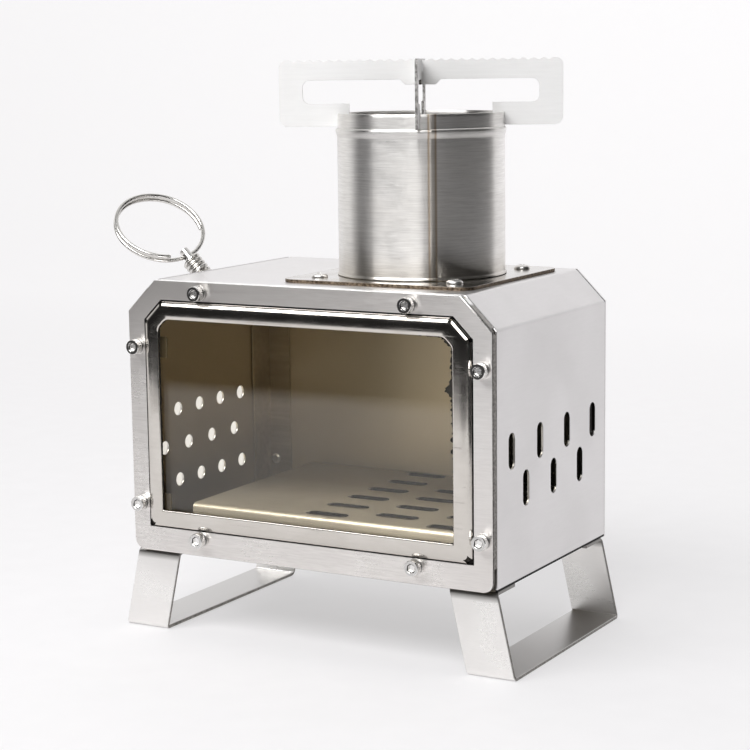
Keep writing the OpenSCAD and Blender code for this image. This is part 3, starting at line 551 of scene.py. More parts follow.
# inside colours: the firebox's own brown, a pale colour of painted light towards the right and where it
# starts and ends, a near-black of painted shade, the firebox's middle, and the heights of a painted shadow
# above the wrap's foot
insideSet = dict(brown=(0.60, 0.53, 0.41), litPatch=(0.90, 0.82, 0.68), litPatchFrom=-0.05, litPatchTo=0.02,
                 shadeBlack=(0.022, 0.02, 0.018), middle=(0, 0, 0.095), seam=(1.1 * mm, 0.9 * mm))


# painted shade towards the right rear corner of the firebox, below the chimney
def cornerShaded(made):
    return overlaid(made, use(made[1], "rightRearRamp")["Mask"], insideSet["shadeBlack"], rough=0.5)[0]


def boxSteel(name, foot=None):
    # satin outside, browned inside with painted light towards the right and painted shade in the corner below
    # the chimney, and a painted shadow in the gap just above a given foot
    s = insideSet
    made = steel(name, satinLook)
    tree = made[1]
    # painted light rising towards the right, then painted shade in the corner below the chimney
    litPatch = use(tree, "rightRearRamp", From=s["litPatchFrom"], To=s["litPatchTo"])["Mask"]
    brown = blendColors(litPatch, s["brown"], s["litPatch"])
    brown = blendColors(use(tree, "rightRearRamp")["Mask"], brown, s["shadeBlack"])
    made = overlaid(made, use(tree, "inwards", Middle=s["middle"])["Mask"], brown, rough=0.42)
    # a painted shadow in the gap just above the wrap's foot
    if foot:
        low, high = (foot + height for height in s["seam"])
        made = overlaid(made, use(tree, "rise", Low=low, High=high)["Mask"], shadowGapBlack, rough=0.6)
    return made[0]


# painted light and shade on the front plate: a shaded patch with its spans across and up, the lit right
# side's two colours and spans, and the highlight's colour and its depth below the top
plateLightShadeSet = dict(shadePatch=(0.50, 0.48, 0.465), shadePatchX=(0.085, -0.06), shadePatchZ=(0.11, 0.15),
                litSide=((0.77, 0.735, 0.71), (0.99, 0.965, 0.945)), litSideX=(0.06, 0.08, 0.0, 0.55),
                litSideZ=(0.045, 0.10), topHighlight=(0.95, 0.945, 0.935), topHighlightHigh=4 * mm)


def makeFrontSteel():
    # cut edges and level faces darkened by painted shade, a patch of painted shade at the upper left, painted
    # light on the right side that grows upwards, and a painted highlight along the rolled top edge
    s = plateLightShadeSet
    made = edgedSteel("brushedFront", frontLook, alongX, shadedEdge, edgeRough=0.5, edgesLookAlong=True)
    tree = made[1]
    x, y, z = axesOf(spotIn(tree))
    # painted shade: a duller patch at the upper left
    shadePatch = times(ranged(x, *s["shadePatchX"]), ranged(z, *s["shadePatchZ"]))
    made = overlaid(made, shadePatch, s["shadePatch"], rough=0.34)
    # painted light: the right side, growing lighter upwards
    litSide = blendColors(ranged(z, *s["litSideZ"]), *s["litSide"])
    right = times(ranged(x, *s["litSideX"]), facingMask(tree, alongY, 0.8, 0.9))
    made = overlaid(made, right, litSide, rough=0.30)
    # painted shade on faces that look up or down, with a raw cut's speckle
    level = use(tree, "facing", Direction=alongZ)
    made = overlaid(made, level["Mask"], blendColors(level["Speckle"], *shadedEdge), rough=0.5)
    # painted highlight along the rolled top edge
    edge = edgeAt("front_plate", "+z") - s["topHighlightHigh"]
    topHighlight = times(facingMask(tree, alongZ, 0.15, 0.45), ranged(z, edge, edge + mm))
    return overlaid(made, topHighlight, s["topHighlight"], rough=0.36)[0]


def makeFrameSteel():
    # mirror bright, with painted shade where it goes down behind the front plate
    made, front = steel("polishedSteel", mirrorLook), edgeAt("front_plate", "-y")
    depth = axesOf(spotIn(made[1]))[1]
    return overlaid(made, ranged(depth, front - 0.1 * mm, front + 0.2 * mm), shadowGapBlack, rough=0.5)[0]


# painted shade for a leg's level faces, a painted dark reflection on its top bend, and the depths below the
# top over which that band fades out
legShadeSet = dict(level=(0.63, 0.62, 0.61), bend=(0.26, 0.25, 0.24), bendReflectionDown=(4.5 * mm, 2.0 * mm))


def makeLegSteel():
    # cut edges darkened by painted shade, painted shade on the level faces, and a painted dark reflection on
    # the bend at the top
    made = edgedSteel("legSteel", legLook, alongX, shadedEdge, edgeRough=0.45, edgesLookAlong=True)
    tree = made[1]
    # painted shade on faces that look up or down
    made = overlaid(made, facingMask(tree, alongZ), legShadeSet["level"], rough=0.36)
    # a painted dark reflection on the bend at the top
    low, high = (edgeAt("left_leg", "+z") - down for down in legShadeSet["bendReflectionDown"])
    return overlaid(made, use(tree, "rise", Low=low, High=high)["Mask"], legShadeSet["bend"], rough=0.36)[0]


# painted light and shade on the grate: the lip's depth, the depths of the lip's shade-to-highlight ramp and
# its two colours, the painted shade at its left end and its span, and the brown painted shade towards the
# back and its span
grateShadeSet = dict(deep=2.3 * mm, down=(6.0 * mm, 3.2 * mm), low=(0.38, 0.36, 0.34), high=(0.90, 0.88, 0.86),
              left=(0.45, 0.44, 0.425), leftShadeX=(-0.02, 0.05, 0.7, 0.0), brown=(0.25, 0.21, 0.155),
              backShadeY=(-0.02, 0.015, 0.0, 0.8))


def makeGrateSteel():
    # painted brown shade towards the back, a pale front lip painted from shade at its foot to a highlight at
    # its top and shaded at its left end, painted shade on the dark slot walls, and painted shade towards the
    # corner below the chimney
    s, back = grateShadeSet, edgeAt("grate", "-y") + grateShadeSet["deep"]
    made = steel("grateSteel", grateLook)
    tree = made[1]
    x, y, z = axesOf(spotIn(tree))
    # painted brown shade towards the back
    made = overlaid(made, ranged(y, *s["backShadeY"]), s["brown"], rough=0.42)
    # the lip: painted shade at its foot rising to a painted highlight at its top, and painted shade at its
    # left end
    low, high = (edgeAt("grate", "+z") - down for down in s["down"])
    lip = blendColors(ranged(z, low, high), s["low"], s["high"])
    lip = blendColors(ranged(x, *s["leftShadeX"]), lip, s["left"])
    # painted shade on the slot walls behind the lip
    lip = blendColors(ranged(y, back, back + mm), lip, insideSet["shadeBlack"])
    return cornerShaded(overlaid(made, facingMask(tree, alongY, 0.3, 0.7), lip, rough=0.36))


# painted shade on the screw heads: the face's colour and the heights where it comes in, the socket's colour,
# and the depths that bound them
screwShadeSet = dict(face=(0.11, 0.107, 0.103), shadedFaceZ=(0.06, 0.12, 0.28, 1.0), socket=(0.035, 0.034, 0.032),
              near=(0.10 * mm, 0.20 * mm), far=(0.55 * mm, 0.65 * mm))


def makeScrewSteel():
    # bright, with painted shade on the socket's edge, and painted shade on the face round it on the upper
    # screws
    s, front = screwShadeSet, edgeAt("front_screws", "-y")
    made = steel("screwSteel", screwLook)
    tree = made[1]
    x, y, z = axesOf(spotIn(tree))

    def behind(key, *ends):
        return ranged(y, front + s[key][0], front + s[key][1], *ends)

    # painted shade on the face round the socket, on the upper screws only
    upper = ranged(z, *s["shadedFaceZ"])
    face = times(facingMask(tree, alongY, 0.86, 0.96), behind("near", 1.0, 0.0), upper)
    made = overlaid(made, face, s["face"], rough=0.32)
    # painted shade in the socket's mouth
    socket = times(facingMask(tree, alongY, 0.5, 0.6), behind("near"), behind("far", 1.0, 0.0))
    return overlaid(made, socket, s["socket"], rough=0.4)[0]


glassSet = dict(tints=((0.94, 0.905, 0.82), (0.92, 0.88, 0.79)), rough=(0.0, 0.02), ior=1.48,
                shadow=(0.90, 0.85, 0.74), smudges=55.0, smudgeEdge=0.2)


def makeGlass():
    # faintly smoky glass with wipe marks; lamps shine through it
    s = glassSet
    material, tree, shader = newMaterial("smokedGlass")
    smudge = use(tree, "smudges", Size=s["smudges"], Edge=s["smudgeEdge"])["Mask"]
    fill(shader, {"Base Color": blendColors(smudge, *s["tints"]), "Transmission Weight": 1.0,
                  "Roughness": ranged(smudge, 0.0, 1.0, *s["rough"]), "IOR": s["ior"]})
    clear = add(tree, "BsdfTransparent", {"Color": s["shadow"]}).outputs[0]
    lamp = add(tree, "LightPath").outputs["Is Shadow Ray"]
    both = after("MixShader", {0: lamp, 1: shader.outputs[0], 2: clear}).outputs[0]
    fill(tree.nodes["Material Output"], {"Surface": both})
    return material


fibreSet = dict(weave=(1400.0, 4.0), tones=((0.010, 0.009, 0.008), (0.06, 0.055, 0.048)), rough=0.9,
                shine=0.1, bump=0.8, relief=0.2 * mm)


def makeFibre():
    # woven-looking dark fibre
    s = fibreSet
    material, tree, shader = newMaterial("gasketFibre")
    fuzz = noise(spotIn(tree), *s["weave"])
    bump = after("Bump", {"Height": fuzz, "Strength": s["bump"], "Distance": s["relief"]})
    fill(shader, {"Base Color": blendColors(fuzz, *s["tones"]), "Normal": bump.outputs[0],
                  "Roughness": s["rough"], "Specular IOR Level": s["shine"]})
    return material


supportTurn = math.radians(26.5)                    # of the pipe and the pot supports about the chimney


def supportSteel(name, turn):
    return edgedSteel(name, supportLook, (-math.sin(turn), math.cos(turn), 0), dullEdge, edgeRough=0.5)[0]


brushedFront = makeFrontSteel()
satinSheet, wrapSteel = boxSteel("satinSheet"), boxSteel("wrapSteel", edgeAt("body_wrap", "-z"))
polishedSteel, legSteel = makeFrameSteel(), makeLegSteel()
# the interior rings' own brown, with painted shade towards the corner below the chimney
sootyShadedSteel = cornerShaded(steel("sootyShadedSteel", sootLook))
grateSteel, underShadeSteel, screwSteel = makeGrateSteel(), steel("underShadeSteel", underShadeLook)[0], makeScrewSteel()
shadedClipSteel, fastenerSteel = steel("shadedClipSteel", shadedClipLook)[0], steel("fastenerSteel", fastenerLook)[0]
springSteel, wireSteel = steel("springSteel", springLook)[0], steel("wireSteel", wireLook)[0]
pipeSteel = makePipeSteel()
flangeSteel = edgedSteel("flangeSteel", flangeLook, alongZ, flangeEdge, edgeRough=0.5)[0]
supportSteelA = supportSteel("supportSteelA", supportTurn)
supportSteelB = supportSteel("supportSteelB", supportTurn + math.pi / 2)
smokedGlass, gasketFibre = makeGlass(), makeFibre()
print("materials: made")


# body sheets: the plate's, wrap's and door's bends lie on the outline of the firebox
bodySet = dict(cut=13.5 * mm, round=5.0 * mm, plateBend=0.9, tight=0.75, tightTo=5 * mm, wrapBend=0.9,
               close=2e-5, grateSheet=1.0 * mm, grateBend=2.2)
plateLow, plateHigh = corners("front_plate")
grateLow, grateHigh = corners("grate")
doorGap = -corners("fuel_door")[0][0] - plateHigh[0]


def onOutline(spots):
    # on the sides, the bottom with its round corners, the top or the two cuts of the plate's outline
    x, z = np.abs(spots[:, 0]), spots[:, 2]
    turn = bodySet["round"]
    low = np.hypot(np.maximum(x - plateHigh[0] + turn, 0), np.maximum(plateLow[2] + turn - z, 0)) - turn
    gaps = [low, z - plateHigh[2], x + z - plateHigh[0] - plateHigh[2] + bodySet["cut"]]
    return (np.abs(np.stack(gaps)) < bodySet["close"]).any(0)


def plateBends(first, second):
    # full bends along the top and the cuts, tight ones at the sides and the bottom
    on = [onOutline(end) & (end[:, 1] < plateLow[1] + bodySet["close"]) for end in (first, second)]
    low = np.minimum(first[:, 2], second[:, 2]) < plateHigh[2] - bodySet["cut"] - bodySet["tightTo"]
    return (on[0] & on[1]) * np.where(low, bodySet["tight"], 1.0)


def onCorners(spots, out):
    # on the two lines where a cut meets its neighbours, for a sheet that lies out from the plate's outline
    x, z = np.abs(spots[:, 0]) - plateHigh[0], spots[:, 2] - plateHigh[2]
    slack = bodySet["cut"] - out * (math.sqrt(2) - 1)
    low, top = np.maximum(np.abs(x - out), np.abs(z + slack)), np.maximum(np.abs(z - out), np.abs(x + slack))
    return np.minimum(low, top) < bodySet["close"]


def wrapBends(out):
    return lambda first, second: onCorners(first, out) & onCorners(second, out)


def grateBends(first, second):
    # both bends along the channel: the outer edge in full, and the inner one less by the sheet
    level = np.abs(first - second)[:, 1:].max(1) < bodySet["close"]
    side = np.minimum(np.abs(first[:, 1] - grateLow[1]), np.abs(first[:, 1] - grateHigh[1]))
    drop = grateHigh[2] - first[:, 2]
    outer, inner = [level & (np.maximum(np.abs(side - deep), np.abs(drop - deep)) < bodySet["close"])
                    for deep in (0, bodySet["grateSheet"])]
    return outer + inner * (1 - bodySet["grateSheet"] / (bodySet["grateBend"] * mm))


# piece, solid, finish, slot, broken edge and bend in millimetres, and where the bends are
for sheet in (
        ("plateSheet", "front_plate", brushedFront, "brushed_front", 0.05, bodySet["plateBend"], plateBends),
        ("wrapSheet", "body_wrap", wrapSteel, "satin_sheet", 0.12, bodySet["wrapBend"], wrapBends(0.0)),
        ("doorSheet", "fuel_door", satinSheet, "satin_sheet", 0.12, bodySet["wrapBend"], wrapBends(doorGap)),
        ("backSheet", "back_panel", satinSheet, "satin_sheet", 0.15),
        ("floorSheet", "bottom_panel", underShadeSteel, "sooty_steel", 0.12),
        ("windowPane", "window_glass", smokedGlass, "smoked_glass", 0.35),
        ("clipPlates", "glass_clips", shadedClipSteel, "sooty_steel", 0.12),
        ("flangePlate", "chimney_flange", flangeSteel, "flange_steel", 0.2),
        ("supportPlateA", "pot_support_a", supportSteelA, "support_steel", 0.1),
        ("supportPlateB", "pot_support_b", supportSteelB, "support_steel", 0.1),
        ("studRod", "handle_stud", fastenerSteel, "fastener_steel", 0.35),
        ("studNuts", "handle_nuts", fastenerSteel, "fastener_steel", 0.3),
        ("studWasher", "handle_washer", fastenerSteel, "fastener_steel", 0.12),
        ("hingeLeafBody", "hinge_body_leaf", legSteel, "satin_sheet", 0.12),
        ("hingeLeafDoor", "hinge_door_leaf", legSteel, "satin_sheet", 0.12),
        ("grateChannel", "grate", grateSteel, "sooty_steel", 0.12, bodySet["grateBend"], grateBends)):
    sheetPiece(*sheet)
print("sheets: done")


# window frame: one bent section carried round the opening, slit at every corner as the real sheet is
frameSet = dict(gap=0.5 * mm, lip=7.0 * mm, cut=8.75 * mm, face=7.7 * mm, bendWide=4.7 * mm,
                bendDeep=2.5 * mm, sheet=0.8 * mm, fall=(0.05 * mm, 0.30 * mm), fallEnds=(60 * mm, 68 * mm),
                fallDown=(20 * mm, 10 * mm), bendSteps=16, cornerSteps=8, rollSteps=6, slitTo=9,
                shares=(0.15, 0.35, 0.55, 0.75, 0.92), outerRound=2.0 * mm, innerRound=(0.6 * mm, 4.4 * mm))
frameLow, frameHigh = corners("window_frame")
lipIn = frameSet["lip"] - frameSet["gap"]
opening = {"half": frameHigh[0] - lipIn, "low": frameLow[2] + lipIn, "high": frameHigh[2] - lipIn}


def openingCorners(inset):
    # the six corners of the window opening, drawn in by inset
    half, slack = opening["half"] - inset, frameSet["cut"] + inset * (math.sqrt(2) - 1)
    low, high = opening["low"] + inset, opening["high"]
    return np.array([[-half, low], [half, low], [half, high - slack], [opening["half"] - slack, high - inset],
                     [slack - opening["half"], high - inset], [-half, high - slack]])


def frameSection():
    # rows of (inset, y, share of the face): lip, wall, elliptical bend, face and its rolled inner edge, then
    # back along the inside
    s = frameSet
    face, lip, thick, wide, deep = frameLow[1], frameHigh[1], s["sheet"], s["bendWide"], s["bendDeep"]
    turn = np.linspace(0, math.pi / 2, s["bendSteps"] + 1)
    bend, back = [np.stack([wide - (wide - less) * np.cos(turn), face + deep - (deep - less) * np.sin(turn),
                            0 * turn], 1) for less in (0, thick)]
    share = np.array(s["shares"])
    flat = np.stack([wide + (s["face"] - wide - thick / 2) * share, np.full(len(share), face), share], 1)
    roll = np.linspace(-math.pi / 2, math.pi / 2, s["rollSteps"] + 1)
    edge = np.stack([s["face"] - thick / 2 + thick / 2 * np.cos(roll),
                     face + thick / 2 + thick / 2 * np.sin(roll), np.ones(len(roll))], 1)
    behind = (flat + [0, thick, 0])[::-1]
    start = [[-s["lip"], lip - thick, 0], [0, lip - thick, 0]]
    end = [[thick, lip, 0], [-s["lip"], lip, 0]]
    return np.concatenate([start, bend, flat, edge, behind, back[::-1], end])


def frameShell():
    s, steps = frameSet, frameSet["cornerSteps"]
    inset, deep, onFace = frameSection().T
    # corners go from outerRound to innerRound across the face: tight ones below, wide ones above
    change = np.repeat(s["innerRound"], (2, 4)) - s["outerRound"]
    share = np.interp(inset, [s["bendWide"], s["face"]], [0, 1])
    loops = np.stack([filleted(openingCorners(s["gap"] + d), s["outerRound"] + change * k, steps)
                      for d, k in zip(inset, share)])
    # the face sinks towards its inner edge by the square of its share, most along the top bar
    onTop = np.interp(loops[..., 1], [opening["high"] - down for down in s["fallDown"]], [0, 1])
    onTop = onTop * np.interp(np.abs(loops[..., 0]), s["fallEnds"], [1, 0])
    fall = s["fall"][0] + (s["fall"][1] - s["fall"][0]) * onTop
    grid = np.stack([loops[..., 0], deep[:, None] + fall * onFace[:, None] ** 2, loops[..., 1]], -1)
    rows, cols = grid.shape[:2]
    quads = gridFaces(rows, cols, True, True)
    # the slits: faces of the corner arcs go, on both skins, from the wall to slitTo on the bend
    row, col = quads[:, 0] // cols, quads[:, 0] % cols
    outerFirst, innerLast = 2, rows - 3
    outerLast, innerFirst = outerFirst + s["slitTo"], innerLast - s["slitTo"]
    onSkins = ((row >= outerFirst) & (row < outerLast)) | ((row >= innerFirst) & (row < innerLast))
    slit = onSkins & (col % (steps + 1) < steps)
    # walls of the slits join the two skins
    starts = np.arange(6) * (steps + 1)
    sides = np.concatenate([starts, starts + steps])
    outer = np.arange(outerFirst, outerLast)[:, None] * cols + sides
    inner = np.arange(innerLast, innerFirst, -1)[:, None] * cols + sides
    walls = np.stack([outer, outer + cols, inner - cols, inner], -1).reshape(-1, 4)
    arc = (starts[:, None] + np.arange(steps)).ravel()
    ends = [np.stack([a * cols + arc, a * cols + arc + 1, b * cols + arc + 1, b * cols + arc], -1)
            for a, b in ((outerFirst, innerLast), (outerLast, innerFirst))]
    return grid.reshape(-1, 3), np.concatenate([quads[~slit], walls, *ends]), []


shellPiece("windowFrameBent", frameShell(), polishedSteel, "window_frame", crease=40)
print("window frame: done")


# gasket: a flat ring whose inner edge frays a little past the frame
gasketSet = dict(outer=1.6 * mm, inner=7.9 * mm, outerRound=1.0 * mm, innerRound=(0.6 * mm, 3.0 * mm),
                 cornerSteps=6, points=1400, fray=(0.3 * mm, 1.2 * mm), frayFrom=0.35, right=0.55,
                 slip=1.3 * mm, slipUp=(80 * mm, 110 * mm), tab=3.4 * mm,
                 tabUp=(116.0 * mm, 118.0 * mm, 121.4 * mm), seed=11)


def evenLoop(loop, count):
    # the same loop with points at even steps along its length
    closed = np.concatenate([loop, loop[:1]])
    run = np.concatenate([[0], np.cumsum(np.linalg.norm(np.diff(closed, axis=0), axis=1))])
    at = np.linspace(0, run[-1], count, endpoint=False)
    return np.stack([np.interp(at, run, closed[:, k]) for k in (0, 1)], 1)


def gasketShell():
    s = gasketSet
    low, high = corners("glass_gasket")
    rounds = {"outer": s["outerRound"], "inner": np.repeat(s["innerRound"], (2, 4))}
    outer, inner = [evenLoop(filleted(openingCorners(s[key]), radius, s["cornerSteps"]), s["points"])
                    for key, radius in rounds.items()]
    draw = np.random.default_rng(s["seed"]).random(s["points"])
    soft = (draw + np.roll(draw, 1) + np.roll(draw, 2)) / 3
    # at the right the threads are longer, the upper part has slipped inwards, and one tab hangs out
    right = np.interp(inner[:, 0], [s["right"] * opening["half"], opening["half"] - s["inner"]], [0, 1])
    reach = s["fray"][0] + (s["fray"][1] - s["fray"][0]) * right
    slip = s["slip"] * right * np.interp(inner[:, 1], s["slipUp"], [0, 1])
    tab = right * np.interp(inner[:, 1], s["tabUp"], [0, s["tab"], 0])
    out = np.clip(soft - s["frayFrom"], 0, 1) * reach * 2 + slip + tab
    inner = inner + unit(inner.mean(0) - inner) * out[:, None]
    rows = [(outer, low[1]), (inner, low[1]), (inner, high[1]), (outer, high[1])]
    grid = np.stack([np.stack([loop[:, 0], np.full(len(loop), y), loop[:, 1]], -1) for loop, y in rows])
    return surface(grid, closeRows=True)


shellPiece("gasketRing", gasketShell(), gasketFibre, "glass_gasket")
print("gasket: done")


# fasteners, in millimetres; side holds heights on the head's full radius, and crown rows of (inset, height)
screwSet = dict(spots=((50.5, 150.4), (52.5, 43.6), (82.9, 126.0), (82.9, 57.1)), head=3.25, height=3.0,
                socket=1.5, cone=(2.05, 0.5), deep=1.4, shank=1.5, sides=96, under=0.1,
                side=(0.12, 0.24, 0.36, 2.4, 2.5, 2.62), crown=((0.07, 2.84), (0.22, 3.0)), teeth=28,
                knurl=0.04, knurlSpan=(0.2, 2.6), flat=(1.6, 3.5), flatSides=64, lock=(1.65, 3.1), split=0.6,
                lockSteps=60)
domeSet = dict(pitch=32.0, head=3.5, height=1.7, socket=1.25, cone=(1.4, 0.15), deep=1.0, shank=2.0,
               sides=48, under=0.15, side=(0.15,), crownIn=1.6, crownLow=0.3, crownSteps=8)
frontSpots = np.array(screwSet["spots"]) * mm
frontSpots = np.concatenate([frontSpots, frontSpots * (-1, 1)])


def screwGrid(s, length, crown):
    # rows of (radius, height): shank, underside, side, crown, then the six-sided socket down to its floor
    angles, head, top = circle(s["sides"]), s["head"], s["height"]
    rows = [(s["shank"], -length), (s["shank"], 0), (head - s["under"], 0), *((head, up) for up in s["side"])]
    rows += [*crown, (s["cone"][0], top), (s["socket"], top - s["cone"][1]), (s["socket"], top - s["deep"])]
    rows = np.array(rows)
    outline = np.ones((len(rows), len(angles)))
    outline[-2:] = hexOutline(angles)
    if "knurl" in s:
        low, high = s["knurlSpan"]
        toothed = (rows[:, 1] > low) & (rows[:, 1] < high) & (rows[:, 0] == head)
        outline -= toothed[:, None] * s["knurl"] * (0.5 + 0.5 * np.cos(s["teeth"] * angles))
    return turned(rows, angles, outline)


def frontPiece(name, local, y, finish, node, closeRows, crease=32):
    # a shape made along +z, set at each screw's spot to look out of the front from depth y
    out = np.stack([local[..., 0], -local[..., 2], local[..., 1]], -1) * mm
    shells = [surface(out + np.array([x, y, z]), closeRows) for x, z in frontSpots]
    shellPiece(name, joined(shells), finish, node, crease)


def ringRows(node, inner, outer, soft=0.1):
    # a washer's section, as thick as its solid
    thick = (edgeAt(node, "+y") - edgeAt(node, "-y")) / mm
    half = [(inner, 0), (outer - soft, 0), (outer, soft)]
    return np.array(half + [(radius, thick - height) for radius, height in half[::-1]])


headBack = edgeAt("front_screws", "-y") + screwSet["height"] * mm
capCrown = [(screwSet["head"] - inset, height) for inset, height in screwSet["crown"]]
capGrid = screwGrid(screwSet, (edgeAt("front_screws", "+y") - headBack) / mm, capCrown)
frontPiece("capScrews", capGrid, headBack, screwSteel, "front_screws", closeRows=False, crease=35)
flatGrid = turned(ringRows("flat_washers", *screwSet["flat"]), circle(screwSet["flatSides"]))
frontPiece("flatWashers", flatGrid, edgeAt("flat_washers", "+y"), fastenerSteel, "flat_washers",
           closeRows=True)
gapAngle = screwSet["split"] / screwSet["lock"][1]
openCircle = np.linspace(gapAngle / 2, 2 * math.pi - gapAngle / 2, screwSet["lockSteps"])
lockGrid = turned(ringRows("lock_washers", *screwSet["lock"]), openCircle).transpose(1, 0, 2)
frontPiece("lockWashers", lockGrid, edgeAt("lock_washers", "+y"), springSteel, "lock_washers",
           closeRows=False)


def domeShell(s):
    # four heads with an elliptical crown, at the corners of a square about the chimney
    base, pitch = edgeAt("chimney_flange", "+z"), s["pitch"] * mm
    swell = np.linspace(0, 1, s["crownSteps"] + 1) * math.pi / 2
    crown = np.stack([s["crownIn"] + (s["head"] - s["crownIn"]) * np.cos(swell),
                      s["crownLow"] + (s["height"] - s["crownLow"]) * np.sin(swell)], 1)
    grid = screwGrid(s, (base - edgeAt("flange_screws", "-z")) / mm, crown) * mm
    return joined([surface(grid + np.array([chimneyMiddle[0] + a, chimneyMiddle[1] + b, base]))
                   for a in (-pitch, pitch) for b in (-pitch, pitch)])


shellPiece("domeScrews", domeShell(domeSet), fastenerSteel, "flange_screws", crease=35)
print("fasteners: done")


# chimney pipe, in millimetres: a profile turned about its axis, notched for the supports, with a weld bead
pipeSet = dict(wall=0.8, foot=0.9, flare=0.5, flareHigh=0.35, flareTo=0.5, footHigh=1.5, clear=0.4, rim=6.0,
               bead=4.0, beadOut=0.7, beadTurn=0.86, beadSpan=0.62, beadPower=1.3, neck=0.25, lip=0.12,
               rimUp=(0.15, 0.3, 1.5, 3.0, 4.5, 5.88), notchHalf=0.9, notchDeep=5.9, notchFloor=0.05,
               weldFrom=2.0, weldReach=1.3, weldColumns=9, columns=180, apart=0.006, pair=3e-4,
               beadRows=11, footRows=6, bodyRows=8)


def signed(angles):
    return (angles + math.pi) % (2 * math.pi) - math.pi


def pipeProfile(s, body, foot, rim):
    # outside: flared foot, body, bead that swells slowly and turns in fast, necked rim; then the inside
    beadTop = rim - s["rim"]
    beadLow, neck, flare = beadTop - s["bead"], body - s["neck"], body + s["flare"]
    rise, footRise = np.linspace(0, 1, s["beadRows"]), np.linspace(0, 1, s["footRows"])[1:]
    base = [[flare, foot], [flare, foot + s["flareHigh"]]]
    footArc = np.stack([body + s["flare"] * (1 - footRise) ** 2,
                        foot + s["flareTo"] + footRise * (s["footHigh"] - s["flareTo"])], 1)
    straight = np.linspace(foot + s["footHigh"] + s["clear"], beadLow - s["clear"], s["bodyRows"])
    straight = np.stack([np.full(len(straight), body), straight], 1)
    swell = s["beadOut"] * np.sin(math.pi * s["beadSpan"] * rise) ** s["beadPower"]
    swell = np.where(rise < s["beadTurn"], swell, swell * (1 - rise) / (1 - s["beadTurn"]))
    beadArc = np.stack([body + swell - s["neck"] * rise ** 6, beadLow + s["bead"] * rise], 1)
    rimUp = np.stack([np.full(len(s["rimUp"]), neck), beadTop + np.array(s["rimUp"])], 1)
    lip = [[neck - s["lip"], rim], [neck - s["wall"] + s["lip"], rim]]
    outside = np.concatenate([base, footArc, straight, beadArc, rimUp])
    inside = outside[::-1] - np.array([s["wall"], 0])
    inside[-len(base) - len(footArc):, 0] = body - s["wall"]
    return np.concatenate([outside, lip, inside]), len(outside)


def pipeShell():
    s = pipeSet
    low, high = (corner / mm for corner in corners("chimney_pipe"))
    body, foot, rim = (high[0] - low[0]) / 2 - s["foot"], low[2], high[2]
    profile, outsideCount = pipeProfile(s, body, foot, rim)
    # columns: even steps, with a close pair at each side of each notch and a few on the weld
    edge, weldHalf = s["notchHalf"] / body, seamSet["half"] / (body * mm)
    middles = supportTurn + np.arange(4)[:, None] * math.pi / 2
    notch = middles + np.array([-edge - s["pair"], -edge, 0, edge, edge + s["pair"]])
    weld = seamSet["turn"] + np.linspace(-s["weldReach"], s["weldReach"], s["weldColumns"]) * weldHalf
    even, special = circle(s["columns"]), np.concatenate([notch.ravel(), weld]) % (2 * math.pi)
    away = np.abs(signed(even[:, None] - special)).min(1) > s["apart"]
    angles = np.sort(np.concatenate([even[away], special]))
    # in a notch everything above its floor is squeezed into a thin step
    inNotch = np.abs(signed(angles[:, None] - middles[:, 0])).min(1) < edge + s["pair"] / 3
    step = s["notchFloor"]
    floor = rim - s["notchDeep"] - step
    height = np.broadcast_to(profile[:, 1:], (len(profile), len(angles)))
    sunk = floor + (height - floor) * step / (s["notchDeep"] + step)
    height = np.where(inNotch & (height > floor), sunk, height)
    # the weld's bead stands out as a parabola across the seam
    bead = np.clip(1 - (signed(angles - seamSet["turn"]) / weldHalf) ** 2, 0, 1) * seamSet["rise"] / mm
    onBead = (np.arange(len(profile)) < outsideCount) & (profile[:, 1] > foot + s["weldFrom"])
    grid = polar(profile[:, :1] + onBead[:, None] * bead, angles, height) * mm
    grid[..., :2] += chimneyMiddle[:2]
    return surface(grid, closeRows=True)


shellPiece("pipeTube", pipeShell(), pipeSteel, "chimney_pipe", crease=50)
print("pipe: done")


# legs: a strap's section carried along its bent path, splayed towards the floor
legSet = dict(sheet=1.5 * mm, bend=2.2 * mm, flange=17.0 * mm, width=21.6 * mm, splay=8.0 * mm,
              edge=0.22 * mm, steps=8)


def legShell(node, side):
    s = legSet
    low, high = corners(node)
    top, thick, wide, edge = high[2], s["sheet"], s["width"], s["edge"]

    def bent(inset, radius):
        y0, y1, z0, z1 = low[1] + inset, high[1] - inset, inset, top - inset
        ends = low[1] + s["flange"], high[1] - s["flange"]
        run = np.array([[ends[0], z1], [y0, z1], [y0, z0], [y1, z0], [y1, z1], [ends[1], z1]])
        return filleted(run, radius, s["steps"], closed=False)

    outer, inner = bent(0, s["bend"]), bent(thick, s["bend"] - thick)
    shift = s["splay"] * (1 - np.clip(outer[:, 1] / top, 0, 1))
    soft = edge / thick
    # eight corners of the strap's section: (distance across, depth from the outer skin)
    section = [(edge, 0), (wide - edge, 0), (wide, soft), (wide, 1 - soft), (wide - edge, 1), (edge, 1),
               (0, 1 - soft), (0, soft)]
    inEdge = (high[0] if side > 0 else -low[0]) - s["splay"] - wide
    rows = [np.concatenate([(side * (inEdge + over + shift))[:, None], outer + (inner - outer) * deep], 1)
            for over, deep in section]
    return surface(np.stack(rows, 1))


for strap, node, side in (("leftLegStrap", "left_leg", -1), ("rightLegStrap", "right_leg", 1)):
    shellPiece(strap, legShell(node, side), legSteel, node, crease=40)
print("legs: done")


